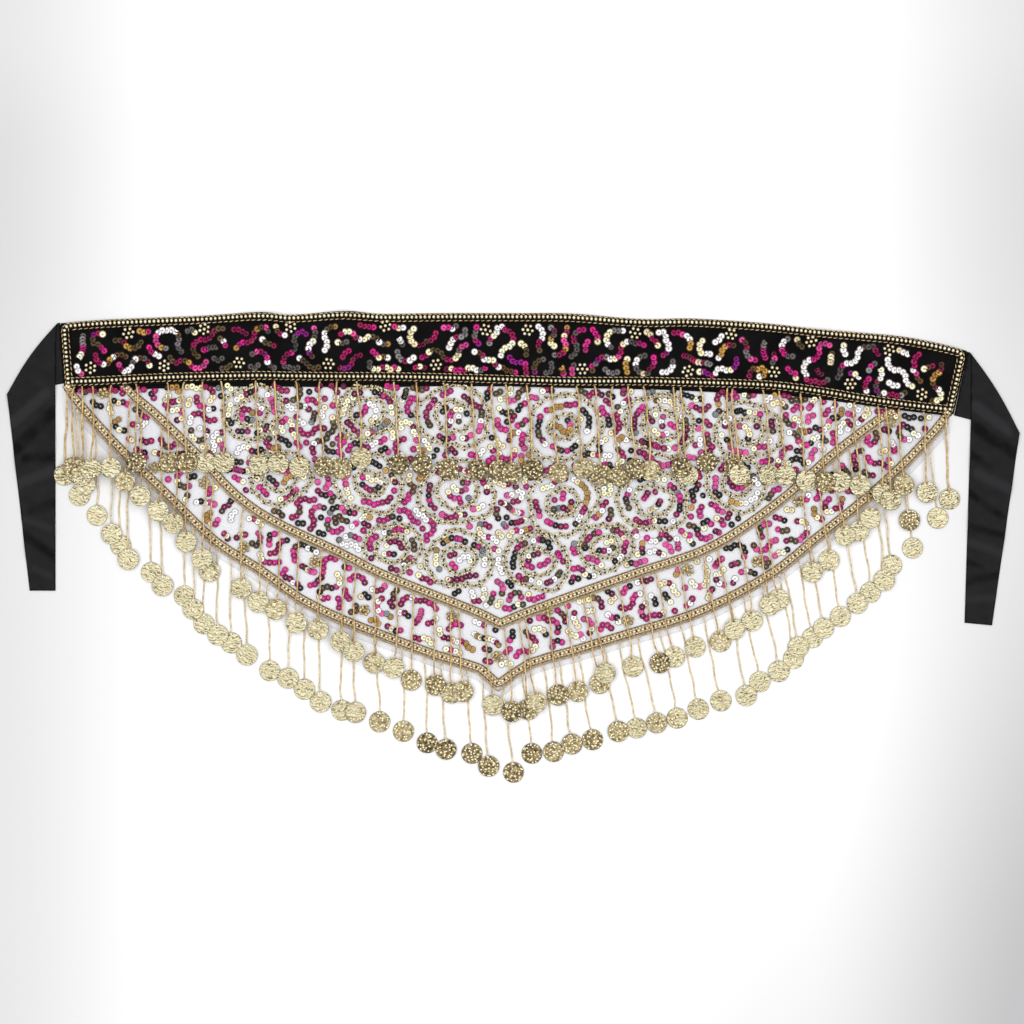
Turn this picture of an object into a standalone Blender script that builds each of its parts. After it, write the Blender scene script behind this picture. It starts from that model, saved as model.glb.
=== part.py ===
"""A belly dance hip scarf, laid flat with its outside up.

A black waistband carries a V-shaped panel of sheer net, two satin ties and three rows of bead strings
that end in coins. X runs along the waistband, +Y is toward the waist and Z is up from the surface that
the scarf lies on. Sizes are in millimetres.
"""

import math

import bmesh
import bpy
import numpy as np
from mathutils import Matrix, Vector
from mathutils.bvhtree import BVHTree

MM = 0.001
SCARF = "belly_dance_hip_scarf"

# Walls and gaps
BAND_WALL = 1.6
NET_WALL = 1.0
TIE_WALL = 1.0
GAP = 0.3
REST_GAP = 0.4  # under strings and coins, which lie loose

# Waistband: the height of its top edge and of its lower seam, from left to right
BAND = [
    # x, top, seam
    (-436, 212, 156.5),
    (-393, 215.5, 158),
    (-346, 217.5, 160.5),
    (-298, 219.5, 162),
    (-241, 223, 163),
    (-213, 220.5, 162.5),
    (-161, 224, 162),
    (-127, 221.5, 162),
    (-70, 222, 161),
    (0, 222, 159),
    (53, 221.5, 157.5),
    (120, 216.5, 157.5),
    (167, 217, 156.5),
    (220, 214, 155),
    (253, 211, 153),
    (291, 206.5, 148),
    (329, 203.5, 141.5),
    (367, 200, 136),
    (405, 193, 131.5),
    (436, 184.5, 128.5),
]
BAND_LEFT = (-425.5, -430.5)  # x of the band's left end at its lower and at its upper corner
BAND_RIGHT = (415.5, 430)
BAND_MARGIN = 10.5  # black cloth below the seam's centreline
BAND_COLUMNS, BAND_ROWS = 48, 4

# Centrelines of the two V edgings on the net. The lowest row is the V's point.
HEM = [
    # x, y
    (-419, 144),
    (-412, 135.5),
    (-394, 115),
    (-370, 89.5),
    (-331, 52),
    (-283.5, 6),
    (-241, -21),
    (-203, -48.5),
    (-165, -67.5),
    (-127, -82.5),
    (-70, -103.5),
    (-32, -115),
    (-15, -130),
    (15, -110),
    (53, -99),
    (110, -81.5),
    (167, -64.5),
    (215, -42),
    (253, -19),
    (282, 5),
    (326.5, 40.5),
    (365, 74.5),
    (399, 110),
    (408, 121),
]
BORDER = [
    # x, y
    (-362, 144.5),
    (-343, 129),
    (-299, 86.5),
    (-264.5, 50.5),
    (-229, 25.5),
    (-165, -5),
    (-127, -24.5),
    (-70, -47.5),
    (-32, -62.5),
    (-13, -72),
    (6, -64),
    (63, -43),
    (120, -23),
    (177, -4),
    (215, 17),
    (261, 51),
    (297, 83.5),
    (326.5, 107),
    (345, 120.5),
]
NET_MARGIN = 12  # net past the hem edging's centreline
NET_LEFT, NET_RIGHT = -423.5, 413.5
NET_COLUMNS, NET_ROWS = 52, 5

# Edging: a half-round strip of two cords with a row of beads between them
EDGING_WIDTH = 8
EDGING_HEIGHT = 2
EDGING_STEP = 17  # between the sections along a V
EDGING_INSET = 4.5  # of its centreline from the band's edge

# Fringe: bead strings that hang from a narrow strip beside an edging, each with a coin
STRIP_WIDTH, STRIP_HEIGHT = 2, 1.4
STRIP_STEP = 20
STRING_RADIUS = 0.6
COIN_RADIUS = 10
COIN_THICKNESS = 0.9
COIN_SIDES = 9
COIN_HOLD = 2.5  # how far the string reaches in over the coin
ROOT_INSET = 1.5  # of the outermost strings from the strip's ends
BEADWORK = 2  # room for the sequins and beads on the net, under the strings and coins that lie on it
FRINGES = {
    # the string's knots as shares of its length, and the coins' centres from left to right, as hung by hand
    "hem_fringe": {
        "knots": (0, 0.07, 0.2, 1),
        "coins": [
            (-412.5, 49), (-407, 59.5), (-396, 30), (-382, 12.5), (-373.5, 1.5), (-366, -11.5),
            (-344.5, -24), (-333.5, -36.5), (-313, -46.5), (-304.5, -59), (-294.5, -73),
            (-281, -83.5), (-268.5, -91), (-253.5, -102.5), (-232, -117.5), (-214.5, -124.5),
            (-199, -135), (-183.5, -147), (-163.5, -155), (-150.5, -157), (-127.5, -166),
            (-105, -175), (-82.5, -186), (-64.5, -192), (-40, -196), (-24, -208), (-0.5, -214),
            (17, -196), (37.5, -194.5), (55, -187), (74.5, -183), (99, -175), (116.5, -172),
            (135.5, -167), (155, -162.5), (175, -154), (196.5, -146), (220.5, -141),
            (233.5, -128), (251.5, -118), (265.5, -106), (270, -95), (283.5, -86), (294, -77),
            (310, -66), (326, -53.5), (338.5, -43), (351.5, -31.5), (358.5, -17.5),
            (375.5, 25.5), (378.5, -1), (402.5, 27.5),
        ],
    },
    "border_fringe": {
        "knots": (0, 0.07, 0.55, 0.8, 1),
        "coins": [
            (-368, 62), (-353.5, 48.5), (-337, 34.5), (-322.5, 22.5), (-311, 5), (-295.5, -11),
            (-289, -23), (-258.5, -39), (-242.5, -52), (-226, -59), (-206.5, -72),
            (-185.5, -78), (-164, -89.5), (-151.5, -99), (-132.5, -110), (-114, -114.5),
            (-97.5, -126.5), (-74.5, -131), (-59.5, -138.5), (-48.5, -137), (-20, -150),
            (-2, -156), (13.5, -154), (21, -147), (42, -140.5), (60.5, -137), (81.5, -129.5),
            (86.5, -119.5), (113, -113.5), (138.5, -110), (152.5, -104.5), (172, -95),
            (196, -89.5), (209, -78), (226, -70), (242.5, -55), (251, -50), (283, -23.5),
            (299, -12.5), (314, 11), (327, 15), (338, 27.5),
        ],
    },
    "waist_fringe": {
        "knots": (0, 0.07, 0.5, 1),
        "coins": [
            (-427, 68.5), (-417.5, 75.5), (-410.5, 67.5), (-400, 74.5), (-381.5, 75),
            (-357.5, 80.5), (-327, 80), (-310, 80), (-292.5, 80), (-275, 80.5), (-241.5, 78),
            (-223.5, 79), (-203.5, 76), (-180, 76), (-163.5, 74.5), (-145, 84.5), (-109, 78.5),
            (-87.5, 78.5), (-62, 73), (-34.5, 73.5), (-14.5, 73), (-2, 70.5), (18, 74.5),
            (42.5, 70.5), (65.5, 75), (83, 68.5), (100.5, 67.5), (115, 74), (129.5, 72.5),
            (158.5, 75.5), (165, 68.5), (183, 80.5), (209, 75), (214, 68.5), (242, 68.5),
            (257.5, 68), (277.5, 63), (295, 61.5), (309.5, 62), (328, 58.5), (349.5, 50.5),
            (357, 44.5), (369.5, 59), (392, 52), (413.5, 45.5),
        ],
    },
}
# How far to the right of its root each fringe's coins lie, across the scarf
DRIFT = [
    # x, hem, border, waist
    (-430, 2, 0, -1),
    (-300, 1, -3, 3),
    (-100, 2, -2, 5),
    (0, 8, 8, 6),
    (150, 18, 18, 7),
    (250, 15, 12, 6),
    (430, 5, 6, 3),
]

# Ties: plan places of the folded strap. It leaves the band between root_top and root_foot, folds along
# the line from root_top to corner, and hangs down to its cut end.
TIES = {
    "tie_left": {
        "root_top": (-431.3, 213),
        "root_foot": (-427.2, 155.5),
        "corner": (-478.8, 141.5),
        "outer_end": (-460, -41.5),
        "inner_end": (-435.5, -41.5),
        "shoulder": (-435.5, 155),
        "bulge": 3.5,
    },
    "tie_right": {
        "root_top": (430.9, 185.5),
        "root_foot": (418, 125),
        "corner": (478, 109.5),
        "outer_end": (454, -74.5),
        "inner_end": (428, -72),
        "shoulder": (434, 125),
        "bulge": 3,
    },
}
FOLD_RADIUS = 0.9
FOLD_FACETS = 4
FOLD_REACH = 30  # how far from the fold its bulge is felt
TIE_SETTLE = 24  # past the root, the distance over which the strap comes down to the surface
TIE_STEP = 12
TIE_STRIPS = 4

# Soft ridges where the cloth lifts off the surface
RIDGES = [
    # x0, y0, x1, y1, half width, height
    (-237, 228, -229, 196, 36, 2.4),
    (-160, 230, -167, 197, 34, 2.2),
    (63, 228, 60, 205, 40, 1.4),
    (300, 212, 296, 190, 38, 1.6),
    (-228, 126, -196, 72, 26, 1.5),
    (-96, 124, -84, 40, 30, 1.8),
    (34, 118, 16, 20, 32, 1.6),
    (128, 120, 122, 44, 28, 1.4),
    (236, 112, 214, 66, 26, 1.5),
    (-474, 78, -444, 100, 20, 1.6),
    (-466, -2, -446, 16, 18, 1.3),
    (468, 60, 436, 86, 20, 1.6),
    (462, 8, 432, 24, 18, 1.4),
]

COLOURS = {
    # name: colour, roughness, metallic
    "black_satin": ((0.012, 0.012, 0.014), 0.4, 0.0),
    "black_cloth": ((0.008, 0.008, 0.009), 0.75, 0.0),
    "white_net": ((0.78, 0.78, 0.83), 0.6, 0.0),
    "gold_trim": ((0.62, 0.42, 0.17), 0.35, 0.9),
    "brass_coin": ((0.72, 0.56, 0.3), 0.28, 1.0),
}


def material(name):
    """The named material, made on its first use."""
    found = bpy.data.materials.get(name)
    if found:
        return found
    colour, roughness, metallic = COLOURS[name]
    made = bpy.data.materials.new(name)
    made.use_nodes = True
    made.diffuse_color = (*colour, 1)
    shader = made.node_tree.nodes["Principled BSDF"]
    shader.inputs["Base Color"].default_value = (*colour, 1)
    shader.inputs["Roughness"].default_value = roughness
    shader.inputs["Metallic"].default_value = metallic
    return made


def add(name, data, surface, collection):
    """An object of this mesh or curve, in the collection and with the named material."""
    made = bpy.data.objects.new(name, data)
    data.materials.append(material(surface))
    collection.objects.link(made)
    return made


def mesh_from(form, name):
    """The mesh of a bmesh, which is freed."""
    mesh = bpy.data.meshes.new(name)
    form.to_mesh(mesh)
    form.free()
    return mesh


def smooth_path(rows, step):
    """Points about step apart on a smooth curve through the rows."""
    rows = np.array(rows, float)
    guides = np.vstack([2 * rows[0] - rows[1], rows, 2 * rows[-1] - rows[-2]])
    points = []
    for before, start, end, after in zip(guides, guides[1:], guides[2:], guides[3:]):
        pieces = max(1, round(float(np.linalg.norm(end - start)) / step))
        for t in np.arange(pieces) / pieces:
            linear = (end - before) * t
            square = (2 * before - 5 * start + 4 * end - after) * t**2
            cube = (3 * start - before - 3 * end + after) * t**3
            points.append(start + (linear + square + cube) / 2)
    return np.array(points + [rows[-1]])


def vee(rows, step):
    """A smooth path down to the lowest row and a smooth one up from it."""
    lowest = min(range(len(rows)), key=lambda i: rows[i][1])
    return np.vstack([smooth_path(rows[: lowest + 1], step)[:-1], smooth_path(rows[lowest:], step)])


def aside(path, distance):
    """The path moved to its right, with mitred corners."""
    run = np.diff(path, axis=0)
    run /= np.linalg.norm(run, axis=1)[:, None]
    right = np.stack([run[:, 1], -run[:, 0]], axis=1)
    before, after = np.vstack([right[:1], right]), np.vstack([right, right[-1:]])
    mitre = before + after
    return path + distance * mitre / (mitre * before).sum(1)[:, None]


def along(path, distances):
    """Points at these distances along a path."""
    lengths = np.linalg.norm(np.diff(path, axis=0), axis=1)
    run = np.concatenate([[0], np.cumsum(lengths)])
    return np.stack([np.interp(distances, run, path[:, k]) for k in range(path.shape[1])], axis=1)


def length_of(path):
    return float(np.linalg.norm(np.diff(path, axis=0), axis=1).sum())


BAND_TOP = smooth_path([(x, top) for x, top, seam in BAND], 4)
BAND_SEAM = smooth_path([(x, seam) for x, top, seam in BAND], 4)
NET_HEM = aside(vee(HEM, EDGING_STEP / 2), NET_MARGIN)


def height_at(path, x):
    """The Y of a left-to-right path at this X."""
    return float(np.interp(x, path[:, 0], path[:, 1]))


def blend(a, b, share):
    return a + (b - a) * share


def relief(x, y):
    """How far the ridges lift the cloth here."""
    lift = 0.0
    for x0, y0, x1, y1, half_width, height in RIDGES:
        run = np.array((x1 - x0, y1 - y0), float)
        offset = np.array((x - x0, y - y0), float)
        share = np.clip(offset @ run / (run @ run), 0, 1)
        away = np.linalg.norm(offset - share * run) / half_width
        if away < 1:
            lift = max(lift, height * (1 - away**2) ** 2)
    return lift


def band_place(s, v):
    """Plan place on the waistband, s from left to right and v from its lower edge to its top."""
    low_x, top_x = blend(BAND_LEFT[0], BAND_RIGHT[0], s), blend(BAND_LEFT[1], BAND_RIGHT[1], s)
    low_y = height_at(BAND_SEAM, low_x) - BAND_MARGIN
    return blend(low_x, top_x, v), blend(low_y, height_at(BAND_TOP, top_x), v)


def net_place(s, v):
    """Plan place on the net, s from left to right and v from the V hem to the band."""
    point_x = min(HEM, key=lambda row: row[1])[0]
    x = float(np.interp(s, (0, 0.5, 1), (NET_LEFT, point_x, NET_RIGHT)))
    top = height_at(BAND_SEAM, x) - BAND_MARGIN - GAP
    return x, blend(height_at(NET_HEM, x), top, v)


def cloth(name, columns, rows, place, wall, surface, collection):
    """A wall of cloth with its underside on the surface, but for its ridges."""
    form = bmesh.new()
    bmesh.ops.create_grid(form, x_segments=columns, y_segments=rows, size=1)
    for vertex in form.verts:
        x, y = place((vertex.co.x + 1) / 2, (vertex.co.y + 1) / 2)
        vertex.co = Vector((x, y, relief(x, y))) * MM
    sheet = add(name, mesh_from(form, name), surface, collection)
    solidify = sheet.modifiers.new("Wall", "SOLIDIFY")
    solidify.thickness = wall * MM
    solidify.offset = 1
    return sheet


def unit(vector):
    return vector / np.linalg.norm(vector)


def across_from(direction, aversion):
    """The unit normal of a plan direction that points away from a vector."""
    normal = np.array((direction[1], -direction[0]))
    return normal if normal @ aversion < 0 else -normal


def folded_tie(name, places, collection):
    """A flat strap, cut along lines beside its fold and then laid back over itself along it."""
    spots = {key: np.array(spot, float) for key, spot in places.items() if key != "bulge"}
    top, corner, foot = spots["root_top"], spots["corner"], spots["root_foot"]
    fold, fold_length = unit(corner - top), float(np.linalg.norm(corner - top))
    out = across_from(fold, foot - top)
    down = across_from(unit(corner - foot), top - foot)
    turn = math.pi * FOLD_RADIUS

    def unfolded(spot):
        away = (spot - top) @ out
        return spot + (turn - 2 * away) * out if away < 0 else spot

    hanging = [unfolded(spots[key]) for key in ("outer_end", "inner_end", "shoulder")]
    pattern = [top, foot, corner] + hanging
    form = bmesh.new()
    form.faces.new([form.verts.new((*spot, 0)) for spot in pattern])

    reach = max((spot - top) @ out for spot in pattern)
    bends = [turn * k / FOLD_FACETS for k in range(FOLD_FACETS + 1)]
    cuts = [-TIE_STEP * k for k in (2, 1)] + bends
    cuts += list(np.arange(turn + TIE_STEP / 2, reach, TIE_STEP))
    axis = unit(hanging[0] + hanging[1] - top - foot)
    side = across_from(axis, foot - top)
    spread = [(spot - top) @ side for spot in pattern]
    planes = [(top + out * cut, out) for cut in cuts]
    planes += [
        (top + side * blend(min(spread), max(spread), k / TIE_STRIPS), side) for k in range(1, TIE_STRIPS)
    ]
    for spot, normal in planes:
        whole = form.verts[:] + form.edges[:] + form.faces[:]
        bmesh.ops.bisect_plane(form, geom=whole, plane_co=(*spot, 0), plane_no=(*normal, 0), dist=1e-5)

    for vertex in form.verts:
        flat = np.array(vertex.co.xy)
        away = float((flat - top) @ out)
        base = flat - away * out
        if away <= 0:
            across, height = away, 0.0
        elif away < turn:
            across = FOLD_RADIUS * math.sin(away / FOLD_RADIUS)
            height = FOLD_RADIUS * (1 - math.cos(away / FOLD_RADIUS))
        else:
            across, height = turn - away, 2 * FOLD_RADIUS
        here = float((base - top) @ fold) / fold_length
        if 0 < here < 1:
            near = max(0.0, 1 - abs(across) / FOLD_REACH) ** 2
            across += places["bulge"] * math.sin(math.pi * here) * near
        spot = base + across * out
        if away > turn:
            past = float(np.clip((spot - foot) @ down / TIE_SETTLE, 0, 1))
            height *= 1 - past**2 * (3 - 2 * past)
        vertex.co = Vector((*spot, height + TIE_WALL / 2 + relief(*spot))) * MM
    bmesh.ops.recalc_face_normals(form, faces=form.faces[:])
    tie = add(name, mesh_from(form, name), "black_satin", collection)
    solidify = tie.modifiers.new("Wall", "SOLIDIFY")
    solidify.thickness = TIE_WALL * MM
    solidify.offset = 0
    solidify.use_even_offset = True
    return tie


class Pile:
    """How high the laid pieces reach at each millimetre of the plan."""

    LEFT, RIGHT, LOW, HIGH = -520, 520, -280, 260

    def __init__(self):
        self.top = np.zeros((self.RIGHT - self.LEFT, self.HIGH - self.LOW))

    def cover(self, piece, work=0):
        """Lays a piece of cloth or edging, with this height of beadwork on it, as seen from above."""
        graph = bpy.context.evaluated_depsgraph_get()
        tree = BVHTree.FromObject(piece, graph)
        corners = np.array([vertex.co for vertex in piece.evaluated_get(graph).data.vertices]) / MM
        low, high = corners.min(0).astype(int) - 1, corners.max(0).astype(int) + 2
        for x in range(low[0], high[0]):
            for y in range(low[1], high[1]):
                hit = tree.ray_cast((x * MM, y * MM, 1), (0, 0, -1))[0]
                cell = x - self.LEFT, y - self.LOW
                if hit:
                    self.top[cell] = max(self.top[cell], hit.z / MM + work)

    def near(self, x, y, reach):
        """The cells within reach of this place, and the half cell that rounding loses."""
        steps = np.arange(-math.ceil(reach), math.ceil(reach) + 1)
        i, j = np.meshgrid(steps, steps, indexing="ij")
        inside = i**2 + j**2 <= (reach + 0.7) ** 2
        return round(x) - self.LEFT + i[inside], round(y) - self.LOW + j[inside]

    def under(self, x, y, reach):
        """The highest place within reach of this one."""
        return float(self.top[self.near(x, y, reach)].max())

    def lay(self, x, y, reach, height):
        """Lays something this high on all that is within reach."""
        cells = self.near(x, y, reach)
        self.top[cells] = np.maximum(self.top[cells], height)

    def rest(self, path, reach):
        """The heights of a path's points when it rests on the pile.

        Where a straight stretch would still cut in, its nearer end is raised.
        """
        heights = np.array([self.under(x, y, reach) for x, y in path])
        for k, (start, end) in enumerate(zip(path[:-1], path[1:])):
            shares = np.linspace(0, 1, max(2, math.ceil(np.linalg.norm(end - start))))
            needs = np.array([self.under(*blend(start, end, share), reach) for share in shares])
            short = needs - blend(heights[k], heights[k + 1], shares)
            while short.max() > 1e-6:
                share = shares[short.argmax()]
                heights[k + round(share)] += short.max() / max(share, 1 - share)
                short = needs - blend(heights[k], heights[k + 1], shares)
        return heights


def swept(name, paths, section, surface, collection):
    """One mesh of a cross-section swept along each path of 3-D points, with its ends closed."""
    outline = bpy.data.curves.new(name + "_section", "CURVE")
    outline.dimensions = "2D"
    loop = outline.splines.new("POLY")
    loop.points.add(len(section) - 1)
    loop.use_cyclic_u = True
    for point, (x, y) in zip(loop.points, section):
        point.co = (x * MM, y * MM, 0, 1)
    section_object = bpy.data.objects.new(name + "_section", outline)

    curve = bpy.data.curves.new(name + "_path", "CURVE")
    curve.dimensions = "3D"
    curve.twist_mode = "Z_UP"
    curve.bevel_mode = "OBJECT"
    curve.bevel_object = section_object
    curve.use_fill_caps = True
    for path in paths:
        line = curve.splines.new("POLY")
        line.points.add(len(path) - 1)
        for point, place in zip(line.points, path):
            point.co = (*(np.array(place) * MM), 1)
    path_object = bpy.data.objects.new(name + "_path", curve)
    collection.objects.link(path_object)
    graph = bpy.context.evaluated_depsgraph_get()
    mesh = bpy.data.meshes.new_from_object(path_object.evaluated_get(graph))
    for helper in (path_object, section_object):
        bpy.data.objects.remove(helper)

    form = bmesh.new()
    form.from_mesh(mesh)
    bmesh.ops.remove_doubles(form, verts=form.verts[:], dist=1e-6)
    bmesh.ops.recalc_face_normals(form, faces=form.faces[:])
    form.to_mesh(mesh)
    form.free()
    return add(name, mesh, surface, collection)


def edging(name, path, pile, collection):
    """A trim along this plan path, resting on the pile."""
    half, shoulder = EDGING_WIDTH / 2, EDGING_WIDTH / 4
    section = [(-half, 0), (half, 0), (shoulder, EDGING_HEIGHT), (-shoulder, EDGING_HEIGHT)]
    heights = pile.rest(path, half) + GAP
    return swept(name, [np.column_stack([path, heights])], section, "gold_trim", collection)


def fringe(name, centre, pile, nodes, helpers):
    """Strings and coins that hang from a strip with this centreline, fused with it into one body."""
    half = STRIP_WIDTH / 2
    section = [
        (-half, -STRIP_HEIGHT / 2),
        (half, -STRIP_HEIGHT / 2),
        (half, STRIP_HEIGHT / 2),
        (-half, STRIP_HEIGHT / 2),
    ]
    strip = swept(name, [centre], section, "brass_coin", nodes)

    places = np.array(FRINGES[name]["coins"], float)
    column = 1 + list(FRINGES).index(name)
    drifts = np.interp(places[:, 0], [row[0] for row in DRIFT], [row[column] for row in DRIFT])
    inside = centre[0, 0] + ROOT_INSET, centre[-1, 0] - ROOT_INSET
    root_x = np.clip(places[:, 0] - drifts, *inside)
    roots = np.column_stack([root_x, *(np.interp(root_x, centre[:, 0], centre[:, k]) for k in (1, 2))])
    knots = np.array(FRINGES[name]["knots"])
    strings, coins = [], bmesh.new()
    for i in list(range(0, len(places), 2)) + list(range(1, len(places), 2)):
        root, coin = roots[i], places[i]
        heading = (coin - root[:2]) / np.linalg.norm(coin - root[:2])
        end = coin - heading * (COIN_RADIUS - COIN_HOLD)
        path = blend(root[:2], end, knots[:, None])
        path[1:-1, 0] += 1.3 * math.sin(4.3 * i)
        heights = pile.rest(path, STRING_RADIUS + GAP) + REST_GAP + STRING_RADIUS
        heights[0] = root[2]
        coin_height = pile.under(*coin, COIN_RADIUS) + REST_GAP + COIN_THICKNESS / 2
        raised = max(coin_height - heights[-1], 0)
        heights[-1] += raised
        string = np.column_stack([path, heights])
        strings.append(string)
        for x, y, z in along(string, np.arange(0, length_of(string))):
            pile.lay(x, y, STRING_RADIUS + GAP, z + STRING_RADIUS)
        pile.lay(*coin, COIN_RADIUS, heights[-1] + COIN_THICKNESS / 2)
        bmesh.ops.create_cone(
            coins,
            cap_ends=True,
            segments=COIN_SIDES,
            radius1=COIN_RADIUS * MM,
            radius2=COIN_RADIUS * MM,
            depth=COIN_THICKNESS * MM,
            matrix=Matrix.Translation(Vector((*coin, heights[-1])) * MM),
        )
    for x, y, z in along(centre, np.arange(0, length_of(centre))):
        pile.lay(x, y, half + 1, z + STRIP_HEIGHT / 2)
    triangle = [(math.sin(a) * STRING_RADIUS, -math.cos(a) * STRING_RADIUS) for a in (0, 2.094, 4.189)]
    bead_strings = swept(name + "_strings", strings, triangle, "gold_trim", helpers)
    coin_discs = add(name + "_coins", mesh_from(coins, name + "_coins"), "brass_coin", helpers)
    for joined in (bead_strings, coin_discs):
        joined.hide_render = True
        union = strip.modifiers.new("Join", "BOOLEAN")
        union.operation = "UNION"
        union.solver = "EXACT"
        union.object = joined
    return strip


def waist_edging_path():
    """Plan path up the band's left end, along its top and down its right end."""
    width, height = BAND_RIGHT[1] - BAND_LEFT[1], BAND[0][1] - BAND[0][2] + BAND_MARGIN
    side, top = EDGING_INSET / width, 1 - EDGING_INSET / height
    cut = EDGING_WIDTH / 2
    columns = [k / BAND_COLUMNS for k in range(1, BAND_COLUMNS)]
    path = [band_place(side, v) for v in (0.11, 0.35, 0.65, top - cut / height)]
    path += [band_place(side + cut / width, top)]
    path += [band_place(s, top) for s in columns]
    path += [band_place(1 - side - cut / width, top)]
    path += [band_place(1 - side, v) for v in (top - cut / height, 0.65, 0.35, 0.14)]
    return np.array(path)


def stretch(path, left, right, step):
    """The stretch of a left-to-right path between two X values, with points about step apart."""
    inside = path[(path[:, 0] > left) & (path[:, 0] < right)]
    ends = [(x, height_at(path, x)) for x in (left, right)]
    whole = np.vstack([ends[0], inside, ends[1]])
    return along(whole, np.linspace(0, length_of(whole), round(length_of(whole) / step) + 1))


def centre_on_floor(objects):
    """Moves every piece so that the part's box is centred on the origin and stands on the floor."""
    graph = bpy.context.evaluated_depsgraph_get()
    corners = np.array(
        [vertex.co for piece in objects for vertex in piece.evaluated_get(graph).data.vertices]
    )
    low, high = corners.min(0), corners.max(0)
    shift = Vector((-(low[0] + high[0]) / 2, -(low[1] + high[1]) / 2, -low[2]))
    for piece in bpy.data.objects:
        piece.location = shift


def build():
    for leftover in list(bpy.data.objects):
        bpy.data.objects.remove(leftover)
    nodes = bpy.data.collections.new(SCARF)
    helpers = bpy.data.collections.new("joined_pieces")
    for collection in (nodes, helpers):
        bpy.context.scene.collection.children.link(collection)

    pile = Pile()
    band = cloth("waistband", BAND_COLUMNS, BAND_ROWS, band_place, BAND_WALL, "black_cloth", nodes)
    net = cloth("hip_panel", NET_COLUMNS, NET_ROWS, net_place, NET_WALL, "white_net", nodes)
    ties = [folded_tie(name, places, nodes) for name, places in TIES.items()]
    for piece in (band, net, *ties):
        pile.cover(piece)

    seam = stretch(BAND_SEAM, -417.2, 407.5, EDGING_STEP)
    border, hem = vee(BORDER, EDGING_STEP), vee(HEM, EDGING_STEP)
    beside = EDGING_WIDTH / 2 + GAP + STRIP_WIDTH / 2
    edges = {
        "hem_fringe": aside(vee(HEM[1:], STRIP_STEP), beside),
        "border_fringe": aside(vee(BORDER, STRIP_STEP), beside),
        "waist_fringe": aside(stretch(BAND_SEAM, -424, 411, STRIP_STEP), beside),
    }
    trims = [
        edging("hem_edging", hem, pile, nodes),
        edging("border_edging", border, pile, nodes),
        edging("waist_edging", waist_edging_path(), pile, nodes),
        edging("seam_edging", seam, pile, nodes),
    ]
    for trim in trims:
        pile.cover(trim)
    lift = GAP + STRIP_HEIGHT / 2
    strips = {
        name: np.column_stack([edge, pile.rest(edge, STRIP_WIDTH / 2) + lift])
        for name, edge in edges.items()
    }
    pile.cover(net, BEADWORK)
    for name, strip in strips.items():
        fringe(name, strip, pile, nodes, helpers)
    centre_on_floor(nodes.objects)


build()
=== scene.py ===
# A belly dance hip scarf laid flat with its outside up: a black sequined waistband, a V of sheer net,
# two satin ties, and three rows of bead strings that end in coins.
# Places are plan millimetres of the layout until toRow() turns them into the frame's metres.
import math

import bmesh
import bpy
import numpy as np
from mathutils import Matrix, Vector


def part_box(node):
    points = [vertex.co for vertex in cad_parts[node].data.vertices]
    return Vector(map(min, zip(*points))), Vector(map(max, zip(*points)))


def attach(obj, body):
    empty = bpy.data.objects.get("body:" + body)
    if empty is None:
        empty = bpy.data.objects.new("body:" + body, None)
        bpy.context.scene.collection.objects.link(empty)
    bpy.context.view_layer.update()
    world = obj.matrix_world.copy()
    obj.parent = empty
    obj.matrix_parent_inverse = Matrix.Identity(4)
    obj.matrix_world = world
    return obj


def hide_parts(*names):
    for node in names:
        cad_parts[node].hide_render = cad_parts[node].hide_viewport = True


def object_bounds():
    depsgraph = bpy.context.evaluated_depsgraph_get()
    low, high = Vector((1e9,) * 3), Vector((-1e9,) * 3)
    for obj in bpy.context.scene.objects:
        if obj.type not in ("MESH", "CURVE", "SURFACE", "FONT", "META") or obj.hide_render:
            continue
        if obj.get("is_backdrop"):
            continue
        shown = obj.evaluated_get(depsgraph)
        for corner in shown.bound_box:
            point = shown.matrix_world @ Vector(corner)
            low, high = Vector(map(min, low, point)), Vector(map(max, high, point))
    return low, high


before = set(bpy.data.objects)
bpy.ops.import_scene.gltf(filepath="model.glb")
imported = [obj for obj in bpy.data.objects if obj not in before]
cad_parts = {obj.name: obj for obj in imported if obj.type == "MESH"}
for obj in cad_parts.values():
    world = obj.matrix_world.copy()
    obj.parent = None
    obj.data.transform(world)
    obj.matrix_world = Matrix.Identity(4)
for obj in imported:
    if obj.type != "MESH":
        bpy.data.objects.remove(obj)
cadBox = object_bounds()
mm = 0.001
scene = bpy.context.scene

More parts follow.
